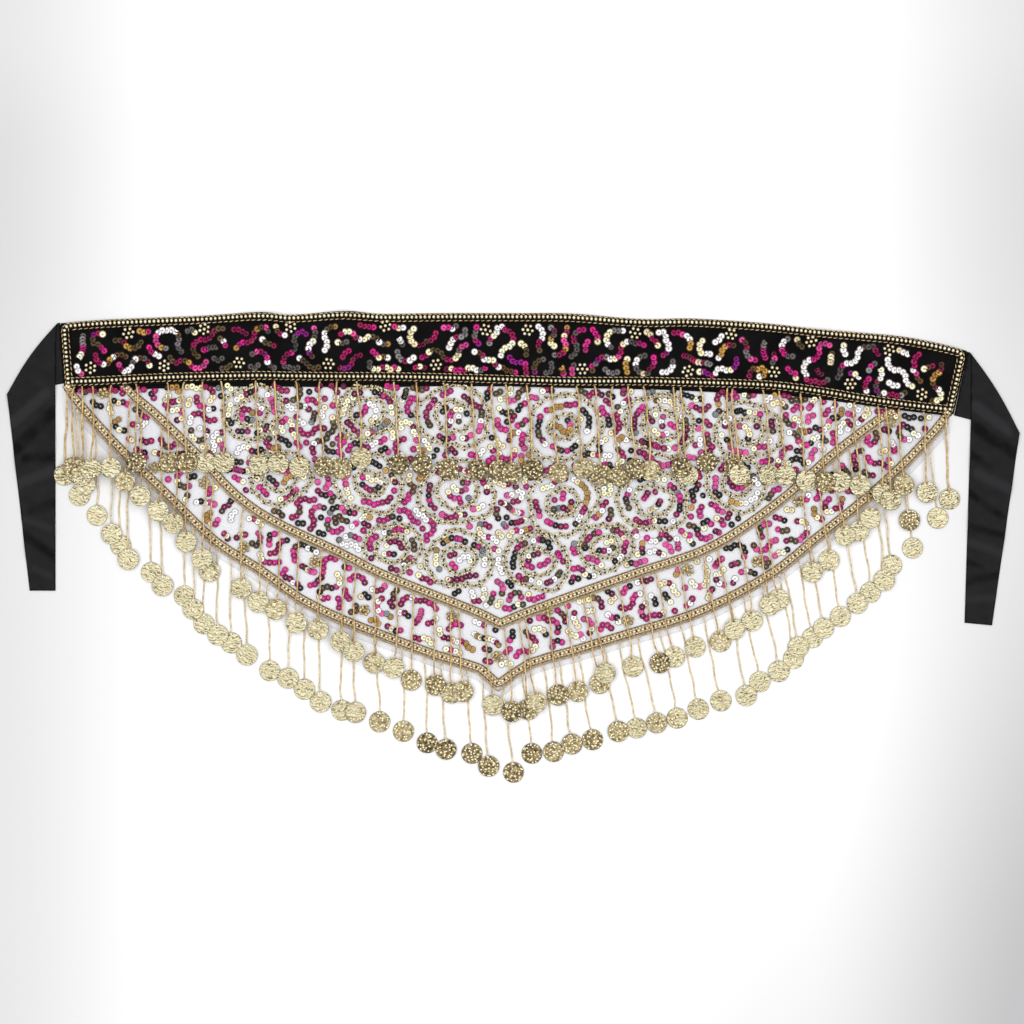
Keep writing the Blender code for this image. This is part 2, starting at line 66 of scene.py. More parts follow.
layout = {
    "bandRows": [  # x, top edge, lower seam
        (-436, 212, 156.5), (-393, 215.5, 158), (-346, 217.5, 160.5), (-298, 219.5, 162), (-241, 223, 163),
        (-213, 220.5, 162.5), (-161, 224, 162), (-127, 221.5, 162), (-70, 222, 161), (0, 222, 159),
        (53, 221.5, 157.5), (120, 216.5, 157.5), (167, 217, 156.5), (220, 214, 155), (253, 211, 153),
        (291, 206.5, 148), (329, 203.5, 141.5), (367, 200, 136), (405, 193, 131.5), (436, 184.5, 128.5),
    ],
    "bandLeft": (-425.5, -430.5),  # x of the left end at its lower and its upper corner
    "bandRight": (415.5, 430),
    "bandMargin": [  # x, how far the band runs on below its seam edging
        (-436, 10.5), (-120, 10.3), (-70, 8.3), (0, 6.6), (55, 6.5), (110, 7.6), (160, 8.2), (215, 9.6),
        (272, 8.2), (330, 6.4), (436, 5.9),
    ],
    "bandWall": 1.6, "bandStep": 4,
    "hem": [
        (-419, 144), (-412, 135.5), (-394, 115), (-370, 89.5), (-331, 52), (-283.5, 6), (-241, -21),
        (-203, -48.5), (-165, -67.5), (-127, -82.5), (-70, -103.5), (-32, -115), (-15, -130), (15, -110),
        (53, -99), (110, -81.5), (167, -64.5), (215, -42), (253, -19), (282, 5), (326.5, 40.5),
        (365, 74.5), (399, 110), (408, 121),
    ],
    "border": [
        (-362, 144.5), (-343, 129), (-299, 86.5), (-264.5, 50.5), (-229, 25.5), (-165, -5), (-127, -24.5),
        (-70, -47.5), (-32, -62.5), (-13, -72), (6, -64), (63, -43), (120, -23), (177, -4), (215, 17),
        (261, 51), (297, 83.5), (326.5, 107), (345, 120.5),
    ],
    "netMargin": 12, "hemStep": 8.5,
    "netEnds": (-423.5, 413.5),
    "netWall": 1.0,
    "gap": 0.3, "lap": 4,
    "ridges": [  # x0, y0, x1, y1, half width, height
        (-237, 228, -229, 196, 36, 2.4), (-160, 230, -167, 197, 34, 2.2), (63, 228, 60, 205, 40, 1.4),
        (300, 212, 296, 190, 38, 1.6), (-228, 126, -196, 72, 26, 1.5), (-96, 124, -84, 40, 30, 1.8),
        (34, 118, 16, 20, 32, 1.6), (128, 120, 122, 44, 28, 1.4), (236, 112, 214, 66, 26, 1.5),
        (-474, 78, -444, 100, 20, 1.6), (-466, -2, -446, 16, 18, 1.3), (468, 60, 436, 86, 20, 1.6),
        (462, 8, 432, 24, 18, 1.4),
    ],
}


def smoothPath(rows, step):
    rows = np.array(rows, float)
    guides = np.vstack([2 * rows[0] - rows[1], rows, 2 * rows[-1] - rows[-2]])
    points = []
    for before, start, end, after in zip(guides, guides[1:], guides[2:], guides[3:]):
        pieces = max(1, round(float(np.linalg.norm(end - start)) / step))
        for t in np.arange(pieces) / pieces:
            linear = (end - before) * t
            square = (2 * before - 5 * start + 4 * end - after) * t**2
            cube = (3 * start - before - 3 * end + after) * t**3
            points.append(start + (linear + square + cube) / 2)
    return np.array(points + [rows[-1]])


def vee(rows, step):
    lowest = min(range(len(rows)), key=lambda i: rows[i][1])
    return np.vstack([smoothPath(rows[: lowest + 1], step)[:-1], smoothPath(rows[lowest:], step)])


def aside(path, distance):
    run = np.diff(path, axis=0)
    run /= np.linalg.norm(run, axis=1)[:, None]
    right = np.stack([run[:, 1], -run[:, 0]], axis=1)
    before, after = np.vstack([right[:1], right]), np.vstack([right, right[-1:]])
    mitre = before + after
    return path + distance * mitre / (mitre * before).sum(1)[:, None]


def lengthOf(path):
    return float(np.linalg.norm(np.diff(path, axis=0), axis=1).sum())


def along(path, distances):
    run = np.concatenate([[0], np.cumsum(np.linalg.norm(np.diff(path, axis=0), axis=1))])
    return np.stack([np.interp(distances, run, path[:, k]) for k in range(path.shape[1])], axis=1)


def evenly(path, step):
    return along(path, np.linspace(0, lengthOf(path), round(lengthOf(path) / step) + 1))


def blend(a, b, share):
    return a + (b - a) * share


def soften(share):
    share = np.clip(share, 0, 1)
    return share**2 * (3 - 2 * share)


bandTop = smoothPath([(x, top) for x, top, seam in layout["bandRows"]], layout["bandStep"])
bandSeam = smoothPath([(x, seam) for x, top, seam in layout["bandRows"]], layout["bandStep"])
netHem = aside(vee(layout["hem"], layout["hemStep"]), layout["netMargin"])
netPoint = min(layout["hem"], key=lambda row: row[1])[0]


def heightAt(path, x):
    return np.interp(x, path[:, 0], path[:, 1])


bandMargin = np.array(layout["bandMargin"])


def bandFoot(x):
    return heightAt(bandSeam, x) - heightAt(bandMargin, x)


def bandPlace(s, v):
    lowX, topX = (blend(layout["bandLeft"][k], layout["bandRight"][k], s) for k in (0, 1))
    return blend(lowX, topX, v), blend(bandFoot(lowX), heightAt(bandTop, topX), v)


def netPlace(s, v):
    x = np.interp(s, (0, 0.5, 1), (layout["netEnds"][0], netPoint, layout["netEnds"][1]))
    return x, blend(heightAt(netHem, x), bandFoot(x) - layout["gap"], v)


def lifted(places, table):
    lift = np.zeros(len(places))
    for x0, y0, x1, y1, halfWidth, height in table:
        run = np.array((x1 - x0, y1 - y0), float)
        offset = places[:, :2] - (x0, y0)
        share = np.clip(offset @ run / (run @ run), 0, 1)
        away = np.linalg.norm(offset - share[:, None] * run, axis=1) / halfWidth
        bump = height * np.clip(1 - away**2, 0, None) ** 2
        lift = np.where(np.abs(bump) > np.abs(lift), bump, lift)
    return lift


# small creases of the cloths: long soft ones that run with the pull of the seams
creases = [
    (-395, 205, -372, 168, 9, 0.3), (-300, 212, -318, 166, 8, 0.25), (-205, 214, -190, 170, 9, 0.3),
    (-60, 216, -74, 166, 10, 0.25), (30, 214, 48, 164, 9, 0.3), (150, 210, 141, 162, 9, 0.25),
    (262, 205, 276, 158, 8, 0.3), (380, 192, 366, 144, 9, 0.3), (-380, 140, -330, 75, 6, 0.3),
    (-300, 148, -262, 60, 7, 0.35), (-176, 146, -170, 20, 7, 0.3), (-120, 145, -110, -60, 7, 0.3),
    (-40, 144, -30, -80, 8, 0.35), (70, 142, 60, -70, 7, 0.3), (180, 140, 165, -30, 7, 0.35),
    (270, 132, 240, 10, 7, 0.3), (330, 118, 285, 40, 6, 0.3), (-150, -60, -60, -95, 5, 0.3),
    (40, -80, 150, -50, 5, 0.3),
]


def relief(places):
    return lifted(places, layout["ridges"])


def clothTop(places):
    places = np.atleast_2d(places)
    lap = layout["lap"]
    share = soften((places[:, 1] - bandFoot(places[:, 0]) + lap / 2) / lap)
    wall = blend(layout["netWall"], layout["bandWall"], share)
    return wall + relief(places) + np.clip(lifted(places, creases), 0, None)


# the frame may stand a little aside of the layout, so the net's corner tells how far
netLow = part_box("hip_panel")[0]
floorZ = min(corner.z for corner in cadBox)
shift = np.array([
    netLow.x / mm - layout["netEnds"][0], netLow.y / mm - heightAt(netHem, netPoint), floorZ / mm,
])


def toRow(points):
    return (np.asarray(points, float) + shift) * mm


class Wire:  # a socket that takes part in sums and products
    def __init__(self, graph, socket):
        self.graph, self.socket = graph, socket

    def maths(self, operation, *values):
        sockets = dict(enumerate((self, *values)))
        return self.graph.add("ShaderNodeMath", {"operation": operation}, sockets)

    def __add__(self, other):
        return self.maths("ADD", other)

    def __sub__(self, other):
        return self.maths("SUBTRACT", other)

    def __rsub__(self, other):
        return self.maths("MULTIPLY_ADD", -1.0, other)

    def __mul__(self, other):
        return self.maths("MULTIPLY", other)

    __radd__, __rmul__ = __add__, __mul__


class Graph:  # a node tree that grows by one node at a time
    def __init__(self, tree):
        self.tree = tree

    def plug(self, node, key, value):
        if isinstance(value, Wire):
            self.tree.links.new(value.socket, node.inputs[key])
        else:
            node.inputs[key].default_value = value

    def add(self, kind, settings={}, sockets={}, out=0):
        node = self.tree.nodes.new(kind)
        for key, value in settings.items():
            setattr(node, key, value)
        for key, value in sockets.items():
            for one in value if isinstance(value, list) else [value]:
                self.plug(node, key, one)
        return Wire(self, node.outputs[out])

    def also(self, wire, out):  # another output of the wire's node
        return Wire(self, wire.socket.node.outputs[out])


class Finish(Graph):  # a surface material, in object coordinates
    def __init__(self, name):
        self.material = bpy.data.materials.new(name)
        self.material.use_nodes = True
        super().__init__(self.material.node_tree)
        self.shader = self.tree.nodes["Principled BSDF"]
        self.place = self.add("ShaderNodeTexCoord", out=3)

    def axes(self, vector=None):
        x = self.add("ShaderNodeSeparateXYZ", {}, {0: vector or self.place})
        return x, self.also(x, 1)

    def wave(self, value, period):
        return (value * (2 * math.pi / period)).maths("SINE")

    def noise(self, size, detail=2.0):
        sockets = {"Vector": self.place, "Scale": 1 / size, "Detail": detail}
        return self.add("ShaderNodeTexNoise", {}, sockets)

    def cells(self, size, feature="F1", randomness=1.0):
        settings = {"voronoi_dimensions": "2D", "feature": feature}
        sockets = {"Vector": self.place, "Scale": 1 / size, "Randomness": randomness}
        return self.add("ShaderNodeTexVoronoi", settings, sockets)

    def between(self, value, low, high):
        sockets = {"Value": value, "From Min": low, "From Max": high}
        return self.add("ShaderNodeMapRange", {"interpolation_type": "SMOOTHSTEP"}, sockets)

    def mix(self, share, a, b, mode="MIX"):
        a, b = ((*c, 1) if isinstance(c, tuple) else c for c in (a, b))
        settings = {"data_type": "RGBA", "blend_type": mode}
        return self.add("ShaderNodeMix", settings, {0: share, 6: a, 7: b}, out=2)

    def bump(self, height, distance, strength=1.0):
        sockets = {"Height": height, "Distance": distance, "Strength": strength}
        return self.add("ShaderNodeBump", {}, sockets)

    def attribute(self, name, out=0):
        return self.add("ShaderNodeAttribute", {"attribute_name": name}, out=out)

    def coat(self, sockets):
        for key, value in sockets.items():
            self.plug(self.shader, key, value)
        return self.material


plainCloth = {"weave": 0.0007, "dark": (0.0016, 0.0016, 0.002), "wearAndReflectedDark": (0.005, 0.0048, 0.0055)}


def blackCloth():
    paint = Finish("blackCloth")
    x, y = paint.axes()
    weave = paint.wave(x, plainCloth["weave"]) * paint.wave(y, plainCloth["weave"])
    nap = paint.noise(0.0012, 4)
    patches = paint.between(paint.noise(0.03, 3), 0.3, 0.7)
    return paint.coat({
        "Base Color": paint.mix(patches, plainCloth["dark"], plainCloth["wearAndReflectedDark"]),
        "Roughness": paint.between(nap, 0.1, 0.9) * 0.2 + 0.66,
        "Normal": paint.bump(weave * 0.4 + nap, 0.00025), "Sheen Weight": 0.02, "Sheen Roughness": 0.5,
        "Specular IOR Level": 0.08,
    })


veil = {
    "mesh": 0.0013, "cool": (0.58, 0.595, 0.68), "warm": (0.66, 0.67, 0.74),
    "cover": 0.12, "threadCover": 0.035, "hemCover": 0.01,  # how much of the light the net stops
}


def netVeil():
    paint = Finish("netVeil")
    thread = 1 - paint.between(paint.cells(veil["mesh"], "DISTANCE_TO_EDGE", 0.3), 0.05, 0.17)
    hem = paint.attribute("hem", 2)
    return paint.coat({
        "Base Color": paint.mix(paint.noise(0.05, 2), veil["cool"], veil["warm"]),
        "Roughness": thread * 0.1 + 0.5,
        "Alpha": thread * veil["threadCover"] + veil["cover"] + hem * veil["hemCover"],
        "Normal": paint.bump(thread, 0.0001), "Specular IOR Level": 0.3,
    })


# the satin's creases get a painted highlight on their ridges and a painted shade in their troughs
satinDye = {
    "deep": (0.0115, 0.0115, 0.0125), "lit": (0.016, 0.016, 0.017), "ridgeHighlight": (0.026, 0.026, 0.028),
    "troughShade": (0.0015, 0.0015, 0.0016), "twill": 0.0006, "stitch": 0.0024,
}


def satin():
    paint = Finish("blackSatin")
    x, y = paint.axes(paint.attribute("flat", 1))
    twill = paint.wave(x + y, satinDye["twill"])
    slubs = paint.noise(0.012, 4)
    stitched = paint.between(paint.wave(y, satinDye["stitch"]), 0.2, 0.7)
    stitched = stitched * paint.between(paint.attribute("seam", 2), 0.5, 0.9)
    # each point's crease height, which paints the highlight on ridges and the shade in troughs
    crease = paint.attribute("crease", 2)
    uneven = paint.between(paint.noise(0.017, 2), 0.32, 0.62) * 0.6 + 0.4
    # the strap's outermost edge joins the painted shade as a darker line
    edge = paint.between(paint.attribute("hemmed", 2), 0.15, 0.75)
    shadow = (paint.between(crease * -1, 0.02, 1.1) * uneven).maths("MAXIMUM", edge)
    colour = paint.mix(paint.between(slubs, 0.3, 0.75), satinDye["deep"], satinDye["lit"])
    colour = paint.mix(paint.between(crease, 0.05, 1) * 0.8, colour, satinDye["ridgeHighlight"])
    height = twill * 0.03 + slubs * 0.9 - stitched * 0.8
    return paint.coat({
        "Base Color": paint.mix(shadow * 0.9, colour, satinDye["troughShade"]),
        "Roughness": paint.between(slubs, 0.2, 0.8) * 0.1 + 0.36,
        "Normal": paint.bump(height, 0.00025, 0.6), "Specular IOR Level": 0.04,
    })


def goldThread(name, dark, light, roughness, metallic, patch=0.006):
    paint = Finish(name)
    wear = paint.noise(patch, 3)
    wire = paint.noise(0.0005, 2)
    return paint.coat({
        "Base Color": paint.mix(paint.between(wear, 0.3, 0.7), dark, light), "Metallic": metallic,
        "Roughness": wire * 0.15 + roughness, "Normal": paint.bump(wire, 0.0001, 0.5),
    })


def braidCloth(name, dark, light, gloss=0.3):
    paint = Finish(name)
    x, y = paint.axes()
    lines = paint.wave(x + y, 0.0009)
    fleck = paint.noise(0.002, 3)
    return paint.coat({
        "Base Color": paint.mix(paint.between(fleck + lines * 0.15, 0.3, 0.75), dark, light),
        "Roughness": fleck * 0.2 + 0.5, "Normal": paint.bump(lines * 0.4 + fleck, 0.0002),
        "Specular IOR Level": gloss,
    })


# the pale colour is a painted highlight round a sequin's hole and the rim colour a painted shade at its edge
film = {"sheen": (0.85, 0.6, 0.3), "rim": (0.4, 0.32, 0.32), "holeHighlight": (0.9, 0.82, 0.86)}


def sequinFilm():  # a film of each sequin's own tint, with a painted highlight round its hole and a painted shade at its rim
    paint = Finish("sequinFilm")
    edge = paint.attribute("edge", 2)
    glint = paint.between(paint.noise(0.009, 2), 0.5, 0.85) * 0.06
    tinted = paint.mix(glint, paint.attribute("tint"), film["sheen"])
    # painted shade: the tint darkened towards the sequin's rim
    rimmed = paint.mix(1.0, tinted, film["rim"], "MULTIPLY")
    # painted highlight round the hole
    holeHighlight = (1 - paint.between(edge, 0.0, 0.16)) * 0.4
    colour = paint.mix(holeHighlight, tinted, film["holeHighlight"])
    return paint.coat({
        "Base Color": paint.mix(paint.between(edge, 0.66, 0.98), colour, rimmed), "Metallic": 0.3,
        "Roughness": paint.noise(0.002, 2) * 0.12 + 0.16, "Specular IOR Level": 0.25,
    })


# the groove colour is a painted shadow in the hammering's grooves, the spark colour a painted glint on its
# dimples, and the pale pair's light half a painted highlight on the ripples' crests
brass = {
    "pale": ((0.55, 0.49, 0.295), (0.8, 0.74, 0.5)), "dull": ((0.16, 0.115, 0.05), (0.035, 0.023, 0.009)),
    "bright": ((0.45, 0.36, 0.18), (0.27, 0.2, 0.08)), "paintedGlint": (0.95, 0.86, 0.58),
    "grooveShade": (0.085, 0.058, 0.022), "rim": (0.13, 0.095, 0.04), "hammering": 0.0031, "dimple": 0.0032,
}


def hammeredBrass():
    # each coin's painted dark reflection takes it from pale brass to bronze, grain turns its hammering, and
    # etch cuts it deeper
    paint = Finish("hammeredBrass")
    tone, etch, grainTurn, rimmed = (paint.attribute(name, 2) for name in ("tone", "etch", "grain", "rim"))
    x, y = paint.axes()
    warp = paint.noise(0.004, 1) - 0.5
    ripple = paint.wave(y - x * grainTurn * 0.6 + warp * 0.0085, brass["hammering"])
    broken = paint.between(paint.noise(0.0028, 1) + etch * 0.06, 0.4, 0.56)
    patches = paint.between(paint.noise(0.0052, 2), 0.36, 0.6)
    # painted shadow in the hammering's grooves
    grooveShade = paint.between(ripple + etch * 0.35, 0.3, 0.95) * broken * (patches * 0.5 + 0.5)
    # painted glints: bright dots on the hammering's dimples
    paintedGlint = 1 - paint.between(paint.cells(brass["dimple"]), 0.08, 0.34)
    fine = paint.between(paint.noise(0.0026, 1), 0.4, 0.6)
    deep = paint.between(tone + etch * 0.16, 0.56, 0.92)
    # the share of bronze: a painted dark reflection, with random patches of wear
    wearAndReflectedDark = paint.between(tone + (patches - 0.5) * 0.3 + etch * 0.1, 0.07, 0.58)
    # pale coins are lighter on the ripples' crests: a painted highlight
    pale = paint.mix(paint.between(ripple * -1, 0.35, 0.9), *brass["pale"])
    bronze = paint.mix(fine, paint.mix(deep, *brass["dull"]), paint.mix(deep, *brass["bright"]))
    colour = paint.mix(wearAndReflectedDark, pale, paint.mix(paintedGlint, bronze, brass["paintedGlint"]))
    colour = paint.mix(grooveShade * (0.92 - wearAndReflectedDark * 0.2 + etch * 0.1), colour, brass["grooveShade"])
    colour = paint.mix(paint.between(rimmed, 0.5, 0.9) * (wearAndReflectedDark * 0.4 + 0.5), colour, brass["rim"])
    return paint.coat({
        "Base Color": colour, "Metallic": wearAndReflectedDark * 0.35 + 0.12, "Roughness": grooveShade * 0.15 + 0.3,
        "Normal": paint.bump(paintedGlint * wearAndReflectedDark * 0.6 - grooveShade * 0.8, 0.00025, 0.7), "Specular IOR Level": 0.4,
    })


threads = {  # dark and light shade, roughness, how metallic, size of the shade's patches
    "goldCord": ((0.4, 0.26, 0.11), (0.8, 0.62, 0.35), 0.3, 0.4, 0.003),
    "netCord": ((0.16, 0.09, 0.035), (0.5, 0.33, 0.15), 0.35, 0.2, 0.0024),
    "bandBead": ((0.88, 0.72, 0.42), (0.99, 0.92, 0.7), 0.12, 0.5),
    "netBead": ((0.8, 0.66, 0.38), (0.99, 0.94, 0.74), 0.2, 0.15, 0.0025),
    "rowBead": ((0.62, 0.45, 0.22), (0.98, 0.86, 0.58), 0.25, 0.15, 0.0022),
    # brown dots between the net edgings' beads: painted shade
    "brownBead": ((0.08, 0.045, 0.018), (0.3, 0.18, 0.07), 0.3, 0.1, 0.0022),
    "whiteThread": ((0.97, 0.96, 0.92), (1.0, 1.0, 0.98), 0.4, 0.0),
    "flowerBead": ((0.07, 0.042, 0.012), (0.92, 0.72, 0.34), 0.2, 0.3, 0.0018),
    "paleBead": ((0.4, 0.26, 0.09), (1.0, 0.95, 0.68), 0.16, 0.1, 0.0026),
    "stringBead": ((0.4, 0.24, 0.085), (0.8, 0.58, 0.27), 0.3, 0.2, 0.004),
    "paleStringBead": ((0.52, 0.38, 0.18), (0.86, 0.7, 0.42), 0.3, 0.2, 0.004),
    # dark beads put where the gaps between beads lie in shade: painted shade
    "beadEye": ((0.006, 0.004, 0.003), (0.03, 0.017, 0.008), 0.4, 0.0),
}
braids = {
    "tanBraid": ((0.3, 0.2, 0.09), (0.68, 0.51, 0.28)),
    # dark brown cloth: the coins' knots, and a painted shade along the sides of the net edgings
    "brownBraid": ((0.05, 0.028, 0.012), (0.16, 0.1, 0.05)),
    "blackBraid": ((0.003, 0.0025, 0.0025), (0.01, 0.008, 0.006), 0.08),
}
finishes = {
    "blackCloth": blackCloth(), "netVeil": netVeil(), "blackSatin": satin(),
    **{name: goldThread(name, *looks) for name, looks in threads.items()},
    **{name: braidCloth(name, *looks) for name, looks in braids.items()},
    "sequinFilm": sequinFilm(), "hammeredBrass": hammeredBrass(),
}
print("finishes made")


def stand(name, data):
    made = bpy.data.objects.new(name, data)
    scene.collection.objects.link(made)
    return made


def keep(name, mesh, nodes):
    piece = stand(name, mesh)
    mesh.shade_smooth()
    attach(piece, "root")
    if nodes:
        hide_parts(*nodes)
    print(name, len(mesh.polygons), "faces")
    return piece


def baked(piece, *helpers):  # the piece's mesh with its modifiers applied, which leaves only the mesh
    graph = bpy.context.evaluated_depsgraph_get()
    mesh = bpy.data.meshes.new_from_object(piece.evaluated_get(graph))
    for spent in (piece, *helpers):
        bpy.data.objects.remove(spent)
    return mesh


def meshOf(form, name, finish=None):
    mesh = bpy.data.meshes.new(name)
    form.to_mesh(mesh)
    form.free()
    if finish:
        mesh.materials.append(finishes[finish])
    return mesh


def numbersOn(mesh, name, kind, values):  # an attribute on the mesh's points
    made = mesh.attributes.new(name, kind, "POINT")
    field = {"FLOAT": "value", "FLOAT_VECTOR": "vector", "FLOAT_COLOR": "color"}[kind]
    made.data.foreach_set(field, np.asarray(values, np.float32).ravel())


def pointsMesh(name, places, **attributes):
    mesh = bpy.data.meshes.new(name)
    mesh.from_pydata([tuple(p) for p in toRow(places)], [], [])
    for key, values in attributes.items():
        kind = {"turn": "FLOAT_VECTOR", "size": "FLOAT_VECTOR", "tint": "FLOAT_COLOR"}.get(key, "FLOAT")
        numbersOn(mesh, key, kind, values)
    return mesh


def linesMesh(name, lines):
    mesh = bpy.data.meshes.new(name)
    places, edges = [], []
    for line in lines:
        edges += [(len(places) + k, len(places) + k + 1) for k in range(len(line) - 1)]
        places += [tuple(p) for p in toRow(line)]
    mesh.from_pydata(places, edges, [])
    return mesh


prototypes = []  # small pieces that are repeated, which are removed at the end


def prototype(name, form):
    made = stand(name, meshOf(form, name))
    made.data.shade_smooth()
    prototypes.append(made)
    return made


def newTree(name, sockets):
    tree = bpy.data.node_groups.new(name, "GeometryNodeTree")
    tree.interface.new_socket("Geometry", in_out="INPUT", socket_type="NodeSocketGeometry")
    for key, kind in sockets.items():
        tree.interface.new_socket(key, in_out="INPUT", socket_type="NodeSocket" + kind)
    tree.interface.new_socket("Geometry", in_out="OUTPUT", socket_type="NodeSocketGeometry")
    graph = Graph(tree)
    entry = graph.add("NodeGroupInput")
    return graph, {key: graph.also(entry, key) for key in ["Geometry", *sockets]}


def endTree(graph, shown):
    leave = graph.tree.nodes.new("NodeGroupOutput")
    graph.tree.links.new(shown.socket, leave.inputs[0])
    return graph.tree


def endFinished(graph, shown, finish):
    solid = graph.add("GeometryNodeRealizeInstances", {}, {0: shown})
    return endTree(graph, graph.add("GeometryNodeSetMaterial", {}, {"Geometry": solid, "Material": finish}))


def vectorMaths(graph, operation, sockets):
    return graph.add("ShaderNodeVectorMath", {"operation": operation}, sockets)


def scatterTree():  # one piece at each point, turned and sized by the point's own numbers
    graph, given = newTree("piecesOnPoints", {"Piece": "Object", "Finish": "Material"})
    piece = graph.add("GeometryNodeObjectInfo", {}, {"Object": given["Piece"]}, out=4)
    turn, size = (
        graph.add("GeometryNodeInputNamedAttribute", {"data_type": "FLOAT_VECTOR"}, {"Name": key})
        for key in ("turn", "size")
    )
    rotation = graph.add("FunctionNodeEulerToRotation", {}, {0: turn})
    sockets = {"Points": given["Geometry"], "Instance": piece, "Rotation": rotation, "Scale": size}
    return endFinished(graph, graph.add("GeometryNodeInstanceOnPoints", {}, sockets), given["Finish"])


def rowTree():  # pieces at a pitch along a line, set aside of it and above it
    sockets = {
        "Piece": "Object", "Pitch": "Float", "Start": "Float", "Aside": "Float", "Lift": "Float",
        "Slant": "Float", "Unevenness": "Float", "Seed": "Int", "Finish": "Material",
    }
    graph, given = newTree("pieceRow", sockets)
    curve = graph.add("GeometryNodeMeshToCurve", {}, {0: given["Geometry"]})
    tangent = graph.add("GeometryNodeInputTangent")
    side = vectorMaths(graph, "CROSS_PRODUCT", {0: tangent, 1: (0, 0, 1)})
    out = vectorMaths(graph, "SCALE", {0: side, 3: given["Aside"]})
    raised = graph.add("ShaderNodeCombineXYZ", {}, {2: given["Lift"]})
    sockets = {"Geometry": curve, "Offset": vectorMaths(graph, "ADD", {0: out, 1: raised})}
    moved = graph.add("GeometryNodeSetPosition", {}, sockets)
    sockets = {"Curve": moved, "Length": given["Pitch"]}
    spots = graph.add("GeometryNodeCurveToPoints", {"mode": "LENGTH"}, sockets)
    heading = graph.also(spots, 1)
    onward = vectorMaths(graph, "SCALE", {0: heading, 3: given["Start"]})
    begun = graph.add("GeometryNodeSetPosition", {}, {"Geometry": spots, "Offset": onward})
    settings = {"axis": "X", "pivot_axis": "Z"}
    level = graph.add("FunctionNodeAlignRotationToVector", settings, {"Vector": heading})
    sockets = {2: -1.0, 3: 1.0, 8: given["Seed"]}
    jitter = graph.add("FunctionNodeRandomValue", {"data_type": "FLOAT"}, sockets, out=1)
    lean = graph.add("ShaderNodeCombineXYZ", {}, {2: given["Slant"] + jitter * given["Unevenness"]})
    spin = graph.add("FunctionNodeEulerToRotation", {}, {0: lean})
    turned = graph.add("FunctionNodeRotateRotation", {"rotation_space": "LOCAL"}, {0: level, 1: spin})
    size = jitter * given["Unevenness"] * 0.6 + 1.0
    scale = graph.add("ShaderNodeCombineXYZ", {}, {0: size, 1: size, 2: size})
    piece = graph.add("GeometryNodeObjectInfo", {}, {"Object": given["Piece"]}, out=4)
    sockets = {"Points": begun, "Instance": piece, "Rotation": turned, "Scale": scale}
    return endFinished(graph, graph.add("GeometryNodeInstanceOnPoints", {}, sockets), given["Finish"])


def trimTree(name, row, parts):  # rows of pieces side by side along one line: beads between two cords
    kinds = {"Piece": "Object", "Finish": "Material"}
    keys = ("Piece", "Pitch", "Start", "Aside", "Lift", "Slant", "Finish")
    sockets = {part + " " + key: kinds.get(key, "Float") for part in parts for key in keys}
    sockets.update({"Unevenness": "Float", "Seed": "Int"})
    graph, given = newTree(name, sockets)
    made = []
    for part in parts:
        settings = {key: given[part + " " + key] for key in keys}
        settings.update({key: given[key] for key in ("Geometry", "Unevenness", "Seed")})
        made.append(graph.add("GeometryNodeGroup", {"node_tree": row}, settings))
    return endTree(graph, graph.add("GeometryNodeJoinGeometry", {}, {0: made}))


def strandTree():  # beads threaded along many lines: a tube that swells and narrows at the pitch
    sizes = {key: "Float" for key in ("Half Pitch", "Wide", "Narrow")}
    graph, given = newTree("beadStrands", {**sizes, "Sides": "Int", "Finish": "Material"})
    curve = graph.add("GeometryNodeMeshToCurve", {}, {0: given["Geometry"]})
    sockets = {"Curve": curve, "Length": given["Half Pitch"]}
    even = graph.add("GeometryNodeResampleCurve", {"mode": "LENGTH"}, sockets)
    index = graph.add("GeometryNodeSplineParameter", out=2)
    odd = index.maths("MODULO", 2.0)
    radius = given["Wide"] + odd * (given["Narrow"] - given["Wide"])
    sockets = {"Resolution": given["Sides"], "Radius": 1.0}
    ring = graph.add("GeometryNodeCurvePrimitiveCircle", {"mode": "RADIUS"}, sockets)
    sockets = {"Curve": even, "Profile Curve": ring, "Scale": radius, "Fill Caps": True}
    return endFinished(graph, graph.add("GeometryNodeCurveToMesh", {}, sockets), given["Finish"])


def grow(name, mesh, tree, values):
    carrier = stand(name, mesh)
    modifier = carrier.modifiers.new("grow", "NODES")
    modifier.node_group = tree
    for item in tree.interface.items_tree:
        if item.in_out == "INPUT" and item.name in values:
            modifier[item.identifier] = values[item.name]
    grown = baked(carrier)
    grown.name = name
    return grown


trees = {"scatter": scatterTree(), "row": rowTree(), "strand": strandTree()}


def scattered(name, cloud, piece, finish, nodes):
    values = {"Piece": piece, "Finish": finishes[finish]}
    return keep(name, grow(name, cloud, trees["scatter"], values), nodes)


def unevenSizes(dice, count, low, high):
    return np.repeat(dice.uniform(low, high, count)[:, None], 3, axis=1)


def ball(radius, segments, rings, stretch=(1, 1, 1)):
    form = bmesh.new()
    bmesh.ops.create_uvsphere(form, u_segments=segments, v_segments=rings, radius=radius * mm)
    bmesh.ops.scale(form, vec=stretch, verts=form.verts[:])
    return form


def grain(radius):
    form = bmesh.new()
    bmesh.ops.create_icosphere(form, subdivisions=1, radius=radius * mm)
    return form


def skin(form, rings, capped):
    # faces between rings of points, whose ends are capped or else meet
    for ring, after in list(zip(rings, rings[1:])) + ([] if capped else [(rings[-1], rings[0])]):
        for k in range(len(ring)):
            form.faces.new((ring[k], ring[k - 1], after[k - 1], after[k]))
    if capped:
        form.faces.new(rings[0])
        form.faces.new(rings[-1])
    bmesh.ops.recalc_face_normals(form, faces=form.faces[:])
    return form


